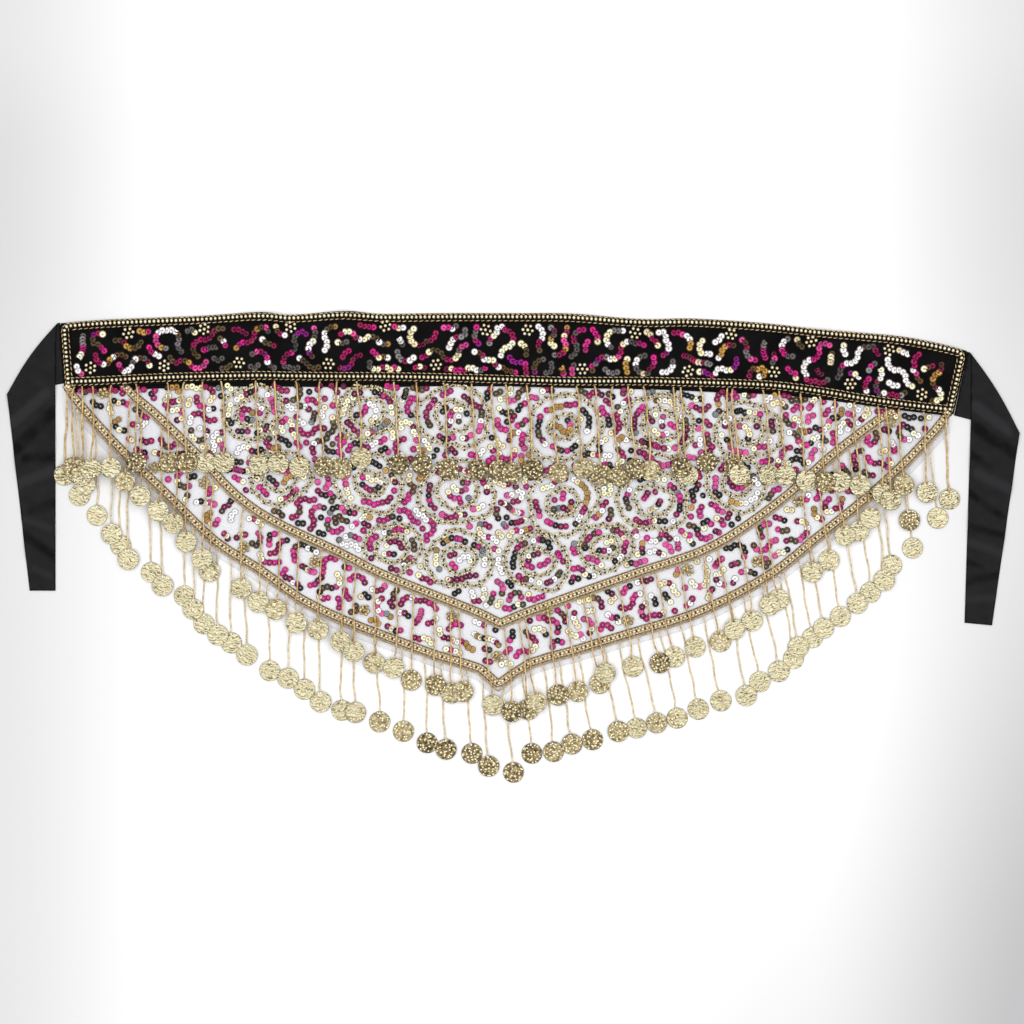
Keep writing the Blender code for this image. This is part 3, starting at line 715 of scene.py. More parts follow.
def lathe(profile, segments, capped):  # an outline of radius and height, turned about Z
    form = bmesh.new()
    turns = np.arange(segments) * 2 * math.pi / segments
    rings = [
        [form.verts.new((r * mm * math.cos(a), r * mm * math.sin(a), z * mm)) for a in turns]
        for r, z in profile
    ]
    return skin(form, rings, capped)


def rimmedShares(count, rim):
    return np.concatenate([[0, rim], np.linspace(rim, 1 - rim, count)[1:-1], [1 - rim, 1]])


def shell(name, spec, place, wall, finish):
    # a closed shell whose edge is rounded: the outermost row stands at mid height
    s, v = (rimmedShares(spec[key], rim) for key, rim in zip(("columns", "rows"), spec["rim"]))
    under = spec["under"]
    grid = [np.stack(place(s, np.full(len(s), share)), axis=1) for share in v]
    flat = np.concatenate(grid)
    lift = relief(flat) + np.clip(lifted(flat, creases), 0, None)
    width, count = len(s), len(flat)
    row, column = np.divmod(np.arange(count), width)
    edge = (row == 0) | (row == len(v) - 1) | (column == 0) | (column == width - 1)
    top = np.where(edge, (wall + under) / 2, wall) + lift
    bottom = np.where(edge, (wall + under) / 2, under) + lift
    lower = np.full(count, -1)
    lower[~edge] = count + np.arange((~edge).sum())
    lower[edge] = np.nonzero(edge)[0]
    places = np.vstack([np.column_stack([flat, top]), np.column_stack([flat, bottom])[~edge]])
    faces = []
    for j in range(len(v) - 1):
        for i in range(width - 1):
            near, far = j * width + i, (j + 1) * width + i
            upper = (near, near + 1, far + 1, far)
            faces.append(upper)
            faces.append(tuple(int(lower[k]) for k in reversed(upper)))
    mesh = bpy.data.meshes.new(name)
    mesh.from_pydata([tuple(p) for p in toRow(places)], [], faces)
    mesh.materials.append(finishes[finish])
    return mesh


shells = {
    "band": {"columns": 210, "rows": 20, "rim": (0.0011, 0.014), "under": 0},
    "net": {"columns": 230, "rows": 70, "rim": (0.001, 0.004), "under": 0.45, "turnedHem": 2.5},
}
bandMesh = shell("waistbandCloth", shells["band"], bandPlace, layout["bandWall"], "blackCloth")
waistband = keep("waistbandCloth", bandMesh, ["waistband"])

netMesh = shell("netPanel", shells["net"], netPlace, layout["netWall"], "netVeil")
netPlan = np.array([v.co[:2] for v in netMesh.vertices]) / mm - shift[:2]
hemmed = netPlan[:, 1] < heightAt(netHem, netPlan[:, 0]) + shells["net"]["turnedHem"]
numbersOn(netMesh, "hem", "FLOAT", hemmed.astype(float))
netPanel = keep("netPanel", netMesh, ["hip_panel"])

ties = {
    "left": {
        "node": "tie_left", "rootTop": (-431.3, 213), "rootFoot": (-427.2, 155.5), "corner": (-479.4, 146),
        "outerEnd": (-460, -41.5), "innerEnd": (-435.5, -41.5), "shoulder": (-435.5, 155), "bulge": 3.5,
        "creases": [  # x0, y0, x1, y1, half width, height; the troughs get a painted shade and the ridges a painted highlight
            (-474, 92, -436, 130, 9, -0.6), (-464, 84, -434, 86, 8, -0.5), (-457, 34, -436, 42, 8, -0.5),
            (-470, 14, -434, -10, 7, -0.6), (-476, 118, -444, 146, 9, 0.5), (-472, 60, -440, 72, 9, 0.45),
            (-464, 26, -440, 18, 6, 0.4), (-456, -20, -440, -28, 6, 0.35),
        ],
    },
    "right": {
        "node": "tie_right", "rootTop": (430.9, 185.5), "rootFoot": (418, 125), "corner": (478, 109.5),
        "outerEnd": (454, -74.5), "innerEnd": (428, -72), "shoulder": (434, 125), "bulge": 3,
        "creases": [
            (434, 116, 476, 88, 9, -0.6), (431, 90, 452, 76, 6, -0.5), (430, 53, 464, 29, 6, -0.55),
            (429, 21, 468, 10, 5.5, -0.55), (424, -12, 444, -18, 5.5, -0.45), (430, -33, 464, -26, 6, -0.5),
            (438, 134, 470, 110, 9, 0.5), (440, 70, 472, 54, 9, 0.45), (434, 4, 464, -6, 7, 0.4),
            (430, -50, 456, -48, 7, 0.35),
        ],
    },
}
strap = {
    "wall": 0.9, "mid": 0.5, "step": 2.0, "strips": 30, "cornerRound": 5.5, "cornerPull": 1.7,
    "foldRadius": 0.9, "foldFacets": 8, "foldReach": 30,  # how far from the fold its bulge is felt
    "cutsBefore": (-60, -1), "cutsAfter": 1.5,  # where cuts across the strap run, from its fold
    "settle": 24,  # past the root, the distance over which the strap comes down
    "creaseStart": 8, "deepest": 0.4, "creaseShade": 2.2, "seam": (3, 2.5), "edgeRound": 0.3, "edgeAngle": 60,
}


def unit(vector):
    return vector / np.linalg.norm(vector)


def acrossFrom(direction, aversion):
    normal = np.array((direction[1], -direction[0]))
    return normal if normal @ aversion < 0 else -normal


def foldedTie(name, spec):
    top, corner, foot = (np.array(spec[key], float) for key in ("rootTop", "corner", "rootFoot"))
    fold, foldLength = unit(corner - top), float(np.linalg.norm(corner - top))
    out, down = acrossFrom(fold, foot - top), acrossFrom(unit(corner - foot), top - foot)
    turn = math.pi * strap["foldRadius"]

    def unfolded(spot):
        away = (spot - top) @ out
        return spot + (turn - 2 * away) * out if away < 0 else spot

    free = [unfolded(np.array(spec[key], float)) for key in ("outerEnd", "innerEnd", "shoulder")]
    outward, inward, bend = unit(free[0] - corner), unit(foot - corner), strap["cornerRound"]
    pulled = corner + (inward + outward) * strap["cornerPull"]
    pattern = [top, foot, corner + inward * bend, pulled, corner + outward * bend] + free
    form = bmesh.new()
    form.faces.new([form.verts.new((*spot, 0)) for spot in pattern])
    reach = max((spot - top) @ out for spot in pattern)
    cuts = list(np.arange(*strap["cutsBefore"], strap["step"]))
    cuts += [turn * k / strap["foldFacets"] for k in range(strap["foldFacets"] + 1)]
    cuts += list(np.arange(turn + strap["cutsAfter"], reach, strap["step"]))
    axis = unit(free[0] + free[1] - top - foot)
    side = acrossFrom(axis, foot - top)
    spread = [(spot - top) @ side for spot in pattern]
    strips = [blend(min(spread), max(spread), k / strap["strips"]) for k in range(1, strap["strips"])]
    planes = [(top + out * cut, out) for cut in cuts] + [(top + side * strip, side) for strip in strips]
    for spot, normal in planes:
        whole = form.verts[:] + form.edges[:] + form.faces[:]
        bmesh.ops.bisect_plane(form, geom=whole, plane_co=(*spot, 0), plane_no=(*normal, 0), dist=1e-5)

    flats, places, creaseShadingValues = [], [], []
    radius = strap["foldRadius"]
    for vertex in form.verts:
        flat = np.array(vertex.co.xy)
        away = float((flat - top) @ out)
        base = flat - away * out
        if away <= 0:
            across, height = away, 0.0
        elif away < turn:
            across, height = radius * math.sin(away / radius), radius * (1 - math.cos(away / radius))
        else:
            across, height = turn - away, 2 * radius
        here = float((base - top) @ fold) / foldLength
        if 0 < here < 1:
            near = max(0.0, 1 - abs(across) / strap["foldReach"]) ** 2
            across += spec["bulge"] * math.sin(math.pi * here) * near
        spot = base + across * out
        past = bump = 0.0
        if away > turn:
            past = float(soften((spot - foot) @ down / strap["settle"]))
            height *= 1 - past
        height += strap["mid"] + float(relief(spot[None])[0])
        if away > turn:
            bump = float(lifted(spot[None], spec["creases"])[0])
            bump *= float(soften((away - turn) / strap["creaseStart"]))
            height += max(bump, -strap["deepest"] * (1 - past))
        # kept to paint a highlight on the crease ridges and a shade in the troughs
        creaseShadingValues.append(min(max(strap["creaseShade"] * bump, -1), 1))
        flats.append(flat - top)
        places.append((*spot, height))
    for vertex, place in zip(form.verts, toRow(places)):
        vertex.co = place
    bmesh.ops.recalc_face_normals(form, faces=form.faces[:])
    form.verts.index_update()
    # the outermost points, where the satin paints a darker line of shade
    hemmed = [float(any(e.is_boundary for e in v.link_edges)) for v in form.verts]
    mesh = meshOf(form, name, "blackSatin")
    numbersOn(mesh, "crease", "FLOAT", creaseShadingValues)
    numbersOn(mesh, "hemmed", "FLOAT", hemmed)
    lengthwise, crosswise = np.array(flats) @ axis, np.array(flats) @ side
    numbersOn(mesh, "flat", "FLOAT_VECTOR", np.column_stack([crosswise, lengthwise, 0 * lengthwise]) * mm)
    edgeAway = np.minimum(crosswise - crosswise.min(), crosswise.max() - crosswise)
    inset, halfWidth = strap["seam"]
    numbersOn(mesh, "seam", "FLOAT", np.clip(1 - np.abs(edgeAway - inset) / halfWidth, 0, 1))
    piece = stand(name, mesh)
    wall = piece.modifiers.new("wall", "SOLIDIFY")
    wall.thickness, wall.offset, wall.use_even_offset = strap["wall"] * mm, 0, True
    soft = piece.modifiers.new("soft", "BEVEL")
    soft.width, soft.segments = strap["edgeRound"] * mm, 2
    soft.limit_method, soft.angle_limit = "ANGLE", math.radians(strap["edgeAngle"])
    return keep(name, baked(piece), [spec["node"]])


tieLeft = foldedTie("satinTieLeft", ties["left"])
tieRight = foldedTie("satinTieRight", ties["right"])
print("cloths made")

edgings = {
    "inset": 4.5, "step": 3.0, "unevenness": 0.07, "pathStep": 17,
    "hemEnds": ((-424.5, 153), (411.5, 128)), "borderEnds": ((-370.5, 154), (360, 129)),
    "seamEnds": (-419, 409),
    "waistLeft": (0.08, 0.35, 0.65), "waistRight": (0.65, 0.35, 0.1), "waistColumns": 48, "waistCorner": 1.8,
    "ribbons": {  # width, height and finish
        "band": {"Ribbon": (8.6, 0.8, "blackBraid")},
        # the wider dark strip under the ribbon is a painted shade along the edging's sides
        "net": {"Edge": (7.9, 0.35, "brownBraid"), "Ribbon": (6.8, 0.7, "tanBraid")},
    },
    "band": {  # the piece, its pitch, start, distance aside, height, slant and finish
        "Beads": ("bandBead", 4.15, 0, 0, 1.6, 0.1, "bandBead"),
        "Inner Cord": ("dash", 5.3, 1.4, 3.6, 1.0, 0.16, "goldCord"),
        "Outer Cord": ("dash", 4.9, 0, -3.6, 1.0, -0.14, "goldCord"),
    },
    "net": {
        "Beads": ("netBead", 4.2, 0, 0, 1.2, 0.1, "netBead"),
        # dark dots between the beads: a painted shade in their gaps
        "Eyes": ("eye", 8.4, 2.1, 0, 1.5, 0, "beadEye"),
        "Small Eyes": ("smallEye", 8.4, 6.3, 0.2, 1.4, 0, "brownBead"),
        "Inner Row": ("seed", 3.1, 0, 2.05, 1.0, 0.12, "rowBead"),
        "Outer Row": ("seed", 3.1, 1.5, -2.05, 1.0, -0.12, "rowBead"),
        "Inner Cord": ("dash", 4.6, 0, 3.3, 0.75, 0.1, "netCord"),
        "Outer Cord": ("dash", 4.6, 1.9, -3.3, 0.75, 0.1, "netCord"),
    },
    "moved": {"waist": {"Beads": -1.2, "Inner Cord": -1.1, "Outer Cord": -0.2}},
    "pieces": {  # radius, segments, rings, stretch
        "bandBead": (1.5, 8, 6, (0.98, 1.16, 0.95)), "netBead": (1.15, 8, 5, (1.4, 1.0, 0.8)),
        "seed": (0.85, 6, 4, (1.75, 0.95, 0.8)), "dash": (0.52, 6, 4, (4.6, 0.95, 0.95)),
        "eye": (1.25, 6, 4, (1, 1, 0.7)), "smallEye": (0.75, 6, 4, (1, 1, 0.7)),
    },
}


def waistEdgingPath():
    width = layout["bandRight"][1] - layout["bandLeft"][1]
    height = layout["bandRows"][0][1] - layout["bandRows"][0][2] + layout["bandMargin"][0][1]
    side, top, cut = edgings["inset"] / width, 1 - edgings["inset"] / height, edgings["waistCorner"]
    columns = edgings["waistColumns"]
    path = [bandPlace(side, v) for v in (*edgings["waistLeft"], top - cut / height)]
    path += [bandPlace(side + cut / width, top)]
    path += [bandPlace(k / columns, top) for k in range(1, columns)]
    path += [bandPlace(1 - side - cut / width, top)]
    path += [bandPlace(1 - side, v) for v in (top - cut / height, *edgings["waistRight"])]
    return np.array(path)


def stretch(path, left, right, step):
    inside = path[(path[:, 0] > left) & (path[:, 0] < right)]
    ends = [(x, heightAt(path, x)) for x in (left, right)]
    return evenly(np.vstack([ends[0], inside, ends[1]]), step)


def edgingVee(key):
    start, end = edgings[key + "Ends"]
    return vee([start, *layout[key], end], edgings["pathStep"])


edgingPaths = {
    "hem_edging": edgingVee("hem"), "border_edging": edgingVee("border"), "waist_edging": waistEdgingPath(),
    "seam_edging": stretch(bandSeam, *edgings["seamEnds"], edgings["pathStep"]),
}


def onCloth(path):
    return np.column_stack([path, clothTop(path)])


def ribbon(name, line, width, height, finish):  # a low half-round strip along a line on the cloth
    section = [(-0.5, 0.0), (-0.42, 0.75), (0, 1.0), (0.42, 0.75), (0.5, 0.0)]
    run = np.gradient(line[:, :2], axis=0)
    run /= np.linalg.norm(run, axis=1)[:, None]
    right = np.stack([run[:, 1], -run[:, 0]], axis=1)
    form, rings = bmesh.new(), []
    for place, across in zip(line, right):
        spots = [(*(place[:2] + across * width * a), place[2] + height * b) for a, b in section]
        rings.append([form.verts.new(spot) for spot in toRow(spots)])
    return meshOf(skin(form, rings, True), name, finish)


# the black binding over the seams between the band and the ties
welts = {"ribbon": (3.0, 1.0, "blackCloth"), "base": 0.65, "reach": (0.03, 0.985, 24)}
for side, end in (("Left", 0), ("Right", 1)):
    path = np.array([bandPlace(end, v) for v in np.linspace(*welts["reach"])])
    line = np.column_stack([path, relief(path) + welts["base"]])
    keep("endWelt" + side, ribbon("endWelt" + side, line, *welts["ribbon"]), [])
sewn = {key: prototype(key, ball(*spec)) for key, spec in edgings["pieces"].items()}
for kind in ("band", "net"):
    trees[kind + "Trim"] = trimTree(kind + "EdgingTrim", trees["row"], list(edgings[kind]))
for node, path in edgingPaths.items():
    kind = "net" if node in ("hem_edging", "border_edging") else "band"
    line = onCloth(evenly(path, edgings["step"]))
    stem = node.split("_")[0]
    for part, section in edgings["ribbons"][kind].items():
        keep(stem + part, ribbon(stem + part, line, *section), [node])
    values = {"Unevenness": edgings["unevenness"], "Seed": len(node)}
    for part, (piece, pitch, start, apart, lift, slant, finish) in edgings[kind].items():
        moved = edgings["moved"].get(stem, {}).get(part, 0)
        values.update({
            part + " Piece": sewn[piece], part + " Pitch": pitch * mm, part + " Start": start * mm,
            part + " Aside": (apart + moved) * mm, part + " Lift": lift * mm, part + " Slant": slant,
            part + " Finish": finishes[finish],
        })
    trim = grow(stem + "Trim", linesMesh(stem + "Line", [line]), trees[kind + "Trim"], values)
    keep(stem + "Trim", trim, [node])
print("edgings made")

# knots are the string's bends as shares of its length, and bead its beads' two radii and their finish;
# each coin has its place and how dark its painted dark reflection makes it, from left to right
fringes = {
    "hem_fringe": {
        "knots": (0, 0.07, 0.2, 1), "drift": 1, "bead": (0.78, 0.6, "paleStringBead"), "etch": 0.0,
        "header": "tanBraid", "tail": "behind", "knot": (2.0, "whiteThread"),
        "coins": [
            (-412.5, 49, 0), (-407, 59.5, 0.1), (-396, 30, 0.05), (-382, 12.5, 0), (-373.5, 1.5, 0),
            (-366, -11.5, 0.05), (-344.5, -24, 0), (-333.5, -36.5, 0.05), (-313, -46.5, 0.05),
            (-304.5, -59, 0), (-294.5, -73, 0), (-281, -83.5, 0.05), (-268.5, -91, 0),
            (-253.5, -102.5, 0), (-232, -117.5, 0.1), (-214.5, -124.5, 0.1), (-199, -135, 0.05),
            (-183.5, -147, 0.1), (-163.5, -155, 0.1), (-150.5, -157, 0.25), (-127.5, -166, 0.5),
            (-105, -175, 0.5), (-82.5, -186, 0.75), (-64.5, -192, 0.75), (-40, -196, 0.75),
            (-24, -208, 0.75), (-0.5, -214, 0.75), (17, -196, 0.75), (37.5, -194.5, 0.6),
            (55, -187, 0.65), (74.5, -183, 0.7), (99, -175, 0.55), (116.5, -172, 0.35),
            (135.5, -167, 0.35), (155, -162.5, 0.25), (175, -154, 0.25), (196.5, -146, 0.2),
            (220.5, -141, 0.05), (233.5, -128, 0), (251.5, -118, 0), (265.5, -106, 0.05),
            (270, -95, 0.05), (283.5, -86, 0), (294, -77, 0), (310, -66, 0), (326, -53.5, 0.05),
            (338.5, -43, 0), (351.5, -31.5, 0.05), (358.5, -17.5, 0), (375.5, 25.5, 0.85), (378.5, -1, 0),
            (402.5, 27.5, 0.1),
        ],
    },
    "border_fringe": {
        "knots": (0, 0.07, 0.55, 0.8, 1), "drift": 2, "bead": (0.88, 0.7, "stringBead"), "etch": 0.15,
        "header": "tanBraid", "tail": "through", "knot": (1, "brownBraid"),
        "coins": [
            (-368, 62, 0.3), (-353.5, 48.5, 0), (-337, 34.5, 0), (-322.5, 22.5, 0.25), (-311, 5, 0.05),
            (-295.5, -11, 0), (-289, -23, 0.15), (-258.5, -39, 0.1), (-242.5, -52, 0.05),
            (-226, -59, 0.2), (-206.5, -72, 0.05), (-185.5, -78, 0), (-164, -89.5, 0.15),
            (-151.5, -99, 0.1), (-132.5, -110, 0.1), (-114, -114.5, 0.05), (-97.5, -126.5, 0.5),
            (-74.5, -131, 0.7), (-59.5, -138.5, 0.25), (-48.5, -137, 0.45), (-20, -150, 0.2),
            (-2, -156, 0.8), (13.5, -154, 0.65), (21, -147, 0.3), (42, -140.5, 0.65), (60.5, -137, 0.5),
            (81.5, -129.5, 0.35), (86.5, -119.5, 0.2), (113, -113.5, 0.15), (138.5, -110, 0.8),
            (152.5, -104.5, 0.05), (172, -95, 0), (196, -89.5, 0.45), (209, -78, 0), (226, -70, 0),
            (242.5, -55, 0.05), (251, -50, 0), (283, -23.5, 0), (299, -12.5, 0.1), (314, 11, 0.2),
            (327, 15, 0.05), (338, 27.5, 0),
        ],
    },
    "waist_fringe": {
        "knots": (0, 0.07, 0.5, 1), "drift": 3, "bead": (1.05, 0.84, "stringBead"), "etch": 1.0,
        "header": "blackBraid", "tail": "through", "knot": (1, "brownBraid"),
        "coins": [
            (-427, 68.5, 0.15), (-417.5, 75.5, 0.35), (-410.5, 67.5, 0), (-400, 74.5, 0.1),
            (-381.5, 75, 0.05), (-357.5, 80.5, 0.85), (-327, 80, 0.5), (-310, 80, 0.55),
            (-292.5, 80, 0.1), (-275, 80.5, 0.05), (-241.5, 78, 0), (-223.5, 79, 0), (-203.5, 76, 0),
            (-180, 76, 0.6), (-163.5, 74.5, 0.5), (-145, 84.5, 0.15), (-109, 78.5, 0.85),
            (-87.5, 78.5, 0.85), (-62, 73, 0.65), (-34.5, 73.5, 0.8), (-14.5, 73, 0.6), (-2, 70.5, 0.5),
            (18, 74.5, 0.8), (42.5, 70.5, 0.55), (65.5, 75, 0.4), (83, 68.5, 0.6), (100.5, 67.5, 0.45),
            (115, 74, 0.7), (129.5, 72.5, 0.25), (158.5, 75.5, 0.8), (165, 68.5, 0.2), (183, 80.5, 0.8),
            (209, 75, 0.75), (214, 68.5, 0.1), (242, 68.5, 0), (257.5, 68, 0.05), (277.5, 63, 0.05),
            (295, 61.5, 0.7), (309.5, 62, 0), (328, 58.5, 0), (349.5, 50.5, 0.05), (357, 44.5, 0.1),
            (369.5, 59, 0.4), (392, 52, 0), (413.5, 45.5, 0.05),
        ],
    },
}
hanging = {
    "beside": 5.3, "rootInset": 1.5, "coinRadius": 10, "coinSides": 9, "coinHold": 2.5,
    "headerStep": 20, "waistEnds": (-424, 411), "headerAt": (0.9, 1.1), "headerHeight": 1.6,
    "headerRibbon": (1.5, 0.8), "headerSink": 0.35, "carrierStep": 3,
    "stringRadius": 0.6, "beadHalfPitch": 1.1, "beadSides": 5, "sway": (1.3, 4.3), "near": 0.75,
    "rimSlack": 0.02,
    "drift": [  # x, and how far the coins hang to the right of their roots: hem, border, waist
        (-430, 2, 0, -1), (-300, 1, -3, 3), (-100, 2, -2, 5), (0, 8, 8, 6), (150, 18, 18, 7),
        (250, 15, 12, 6), (430, 5, 6, 3),
    ],
    "smooth": 2.5, "calmEnds": 0.12, "overCoin": 1.15, "riseFrom": 15, "riseOver": 4,
    "kinks": ((0.45, 7.3, 1.7), (0.22, 3.4, 2.9), (0.9, 23, 1)),  # size, length, turn from string to string
    "tails": {  # how near the coin's centre a string is cut, then its last points: distance and height
        "behind": (10.3, ((9.6, -0.1), (9.2, -0.3))), "through": (8.6, ((8.45, 0.95), (8.1, 0.1))),
    },
    "knotRadius": 0.62, "knotLift": 0.5, "threadSink": 0.1,
}


def headers():
    step, beside = hanging["headerStep"], hanging["beside"]
    return {
        "hem_fringe": aside(vee(layout["hem"][1:], step), beside),
        "border_fringe": aside(vee(layout["border"], step), beside),
        "waist_fringe": aside(stretch(bandSeam, *hanging["waistEnds"], step), beside),
    }


def solidPoints(node):  # the layout places of a CAD node's points
    return np.array([v.co[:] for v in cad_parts[node].data.vertices]) / mm - shift


def midHeight(points, spot, low, high, sides=0):
    # the middle height of the points at this plan distance from a spot, or of a regular rim's points
    offset = points[:, :2] - spot
    away = np.linalg.norm(offset, axis=1)
    found = (away > low) & (away < high)
    if sides:
        turn = np.arctan2(offset[:, 1], offset[:, 0]) * sides / (2 * math.pi) - 0.25 * sides
        found &= np.abs(turn - np.round(turn)) < 0.01
    heights = points[found, 2]
    return (heights.min() + heights.max()) / 2 if len(heights) else None


def hung(node, header):
    # the strings' lines and the coins' places of a fringe, at the heights where its solid lies
    spec, points = fringes[node], solidPoints(node)
    places = np.array(spec["coins"], float)
    table = np.array(hanging["drift"])
    drifts = np.interp(places[:, 0], table[:, 0], table[:, spec["drift"]])
    inside = header[0, 0] + hanging["rootInset"], header[-1, 0] - hanging["rootInset"]
    rootX = np.clip(places[:, 0] - drifts, *inside)
    heights = [midHeight(points, spot, *hanging["headerAt"]) for spot in header]
    missed = sum(height is None for height in heights)
    heights = [hanging["headerHeight"] if height is None else height for height in heights]
    centre = np.column_stack([header, heights])
    roots = np.column_stack([rootX, *(np.interp(rootX, centre[:, 0], centre[:, k]) for k in (1, 2))])
    knots, lines, coins = np.array(spec["knots"]), [], []
    radius, slack, (sway, swayTurn) = hanging["coinRadius"], hanging["rimSlack"], hanging["sway"]
    for i, (x, y, tone) in enumerate(places):
        root, coin = roots[i], np.array((x, y))
        heading = unit(coin - root[:2])
        end = coin - heading * (radius - hanging["coinHold"])
        path = blend(root[:2], end, knots[:, None])
        path[1:-1, 0] += sway * math.sin(swayTurn * i)
        zs = [root[2]]
        for spot in path[1:-1]:
            hit = midHeight(points, spot, 0, hanging["near"])
            zs.append(None if hit is None else hit + hanging["stringRadius"] / 4)
        zs.append(midHeight(points, coin, radius - slack, radius + slack, hanging["coinSides"]))
        missed += sum(z is None for z in zs)
        known = [k for k, z in enumerate(zs) if z is not None]
        zs = np.interp(range(len(zs)), known, [zs[k] for k in known])
        lines.append((np.column_stack([path, zs]), heading, i))
        coins.append((*coin, zs[-1], heading, tone))
    return centre, lines, coins, missed


def strung(line, heading, i, coin, tail):
    # a string with its soft kinks, down through its coin's hole or up from behind it
    path = smoothPath(line[:, :2], hanging["smooth"])
    share = np.linspace(0, 1, len(path))
    run = np.concatenate([[0], np.cumsum(np.linalg.norm(np.diff(path, axis=0), axis=1))])
    knotRun = [run[np.argmin(np.linalg.norm(path - knot, axis=1))] for knot in line[:, :2]]
    heights = np.interp(run, knotRun, line[:, 2])
    side = np.array((heading[1], -heading[0]))
    kink = sum(size * np.sin(run / length + turn * i) for size, length, turn in hanging["kinks"])
    calm = soften(share / hanging["calmEnds"]) * soften((1 - share) / hanging["calmEnds"])
    path = path + side * (kink * calm)[:, None]
    centre, top = np.array(coin[:2]), coin[2]
    away = np.linalg.norm(path - centre, axis=1)
    if tail == "through":
        over = soften((hanging["riseFrom"] - away) / hanging["riseOver"])
        heights = np.maximum(heights, blend(heights, top + hanging["overCoin"], over))
    cut, ending = hanging["tails"][tail]
    body = np.column_stack([path, heights])[away > cut]
    return np.vstack([body, *((*(centre - heading * back), top + rise) for back, rise in ending)])


coinDie = {
    "profile": [  # radius, height
        (2.4, 0.46), (5.0, 0.4), (7.6, 0.37), (8.9, 0.37), (9.3, 0.45), (9.8, 0.42), (10, 0.25), (10, -0.25),
        (9.8, -0.42),
    ],
    "segments": 28, "face": 9, "dents": 0.05, "rimFrom": 9.5,
    "holeRadius": 1.0, "holeSides": 10, "holeAt": 8.1, "drillLength": 4,
    "waves": ((0.006, 5, 1), (0.005, 9, 0)),  # how far out of round: size, count and turn
    "tilt": 0.02, "reflectedDarkSpread": 0.06, "sizes": (0.985, 1.01),
    "grains": (-0.35, 0.25, 0.45),  # the hammering's turn on the left and on the right, and its spread
}


def coinBlank():
    form = lathe(coinDie["profile"], coinDie["segments"], True)
    uneven = np.random.default_rng(5)
    for vertex in form.verts:
        r = math.hypot(vertex.co.x, vertex.co.y) / mm
        if vertex.co.z > 0 and r < coinDie["face"]:
            vertex.co.z += uneven.uniform(-coinDie["dents"], coinDie["dents"]) * mm
        turn = math.atan2(vertex.co.y, vertex.co.x)
        wave = 1
        for size, count, start in coinDie["waves"]:
            wave += size * math.sin(count * turn + start)
        vertex.co.x, vertex.co.y = vertex.co.x * wave, vertex.co.y * wave
    drill, radius, depth = bmesh.new(), coinDie["holeRadius"] * mm, coinDie["drillLength"] * mm
    bmesh.ops.create_cone(
        drill, cap_ends=True, segments=coinDie["holeSides"], radius1=radius, radius2=radius, depth=depth
    )
    bmesh.ops.translate(drill, vec=(0, coinDie["holeAt"] * mm, 0), verts=drill.verts[:])
    coin, bit = stand("coin", meshOf(form, "coin")), stand("drill", meshOf(drill, "drill"))
    hole = coin.modifiers.new("hole", "BOOLEAN")
    hole.operation, hole.object, hole.solver = "DIFFERENCE", bit, "EXACT"
    form = bmesh.new()
    form.from_mesh(baked(coin, bit))
    return form


coinPiece = prototype("coinBlank", coinBlank())
knotPiece = prototype("knot", grain(hanging["knotRadius"]))
fromCentre = [math.hypot(v.co.x, v.co.y) / mm for v in coinPiece.data.vertices]
numbersOn(coinPiece.data, "rim", "FLOAT", [float(r > coinDie["rimFrom"]) for r in fromCentre])
dice, missed = np.random.default_rng(11), 0
for node, header in headers().items():
    centre, lines, coins, gone = hung(node, header)
    missed += gone
    stem, spec = node.split("_")[0], fringes[node]
    wide, narrow, finish = spec["bead"]
    strings = [strung(*line, coin, spec["tail"]) for line, coin in zip(lines, coins)]
    carrier = evenly(centre, hanging["carrierStep"])
    carrier[:, 2] -= hanging["headerSink"]
    strip = ribbon(stem + "Header", carrier, *hanging["headerRibbon"], spec["header"])
    keep(stem + "Header", strip, [node])
    strands = grow(stem + "Strings", linesMesh(stem + "Lines", strings), trees["strand"], {
        "Half Pitch": hanging["beadHalfPitch"] * mm, "Wide": wide * mm, "Narrow": narrow * mm,
        "Sides": hanging["beadSides"], "Finish": finishes[finish],
    })
    keep(stem + "Strings", strands, [node])
    turns, reflectedDarks, grains = [], [], []
    leftGrain, rightGrain, grainSpread = coinDie["grains"]
    for x, y, z, heading, tone in coins:
        facing = math.atan2(-heading[1], -heading[0]) - math.pi / 2
        turns.append((*dice.normal(0, coinDie["tilt"], 2), facing))
        # how dark each coin's painted reflection is
        reflectedDarks.append(np.clip(tone + dice.normal(0, coinDie["reflectedDarkSpread"]), 0, 1))
        grains.append(dice.normal(leftGrain if x < 0 else rightGrain, grainSpread))
    sizes = unevenSizes(dice, len(coins), *coinDie["sizes"])
    looks = {"tone": reflectedDarks, "grain": grains, "etch": [spec["etch"]] * len(coins)}
    cloud = pointsMesh(stem + "CoinSpots", [coin[:3] for coin in coins], turn=turns, size=sizes, **looks)
    scattered(stem + "Coins", cloud, coinPiece, "hammeredBrass", [node])
    knotSize, finish = spec["knot"]
    if spec["tail"] == "behind":  # a thread's end shows in the coin's hole
        back, sink = coinDie["holeAt"], hanging["threadSink"]
        holes = [(x - back * run[0], y - back * run[1], z - sink) for x, y, z, run, tone in coins]
    else:
        holes = [string[-1] + (0, 0, hanging["knotLift"]) for string in strings]
    cloud = pointsMesh(stem + "KnotSpots", holes, turn=turns, size=sizes * knotSize)
    scattered(stem + "Knots", cloud, knotPiece, finish, [node])
print("fringes made,", missed, "heights missed")

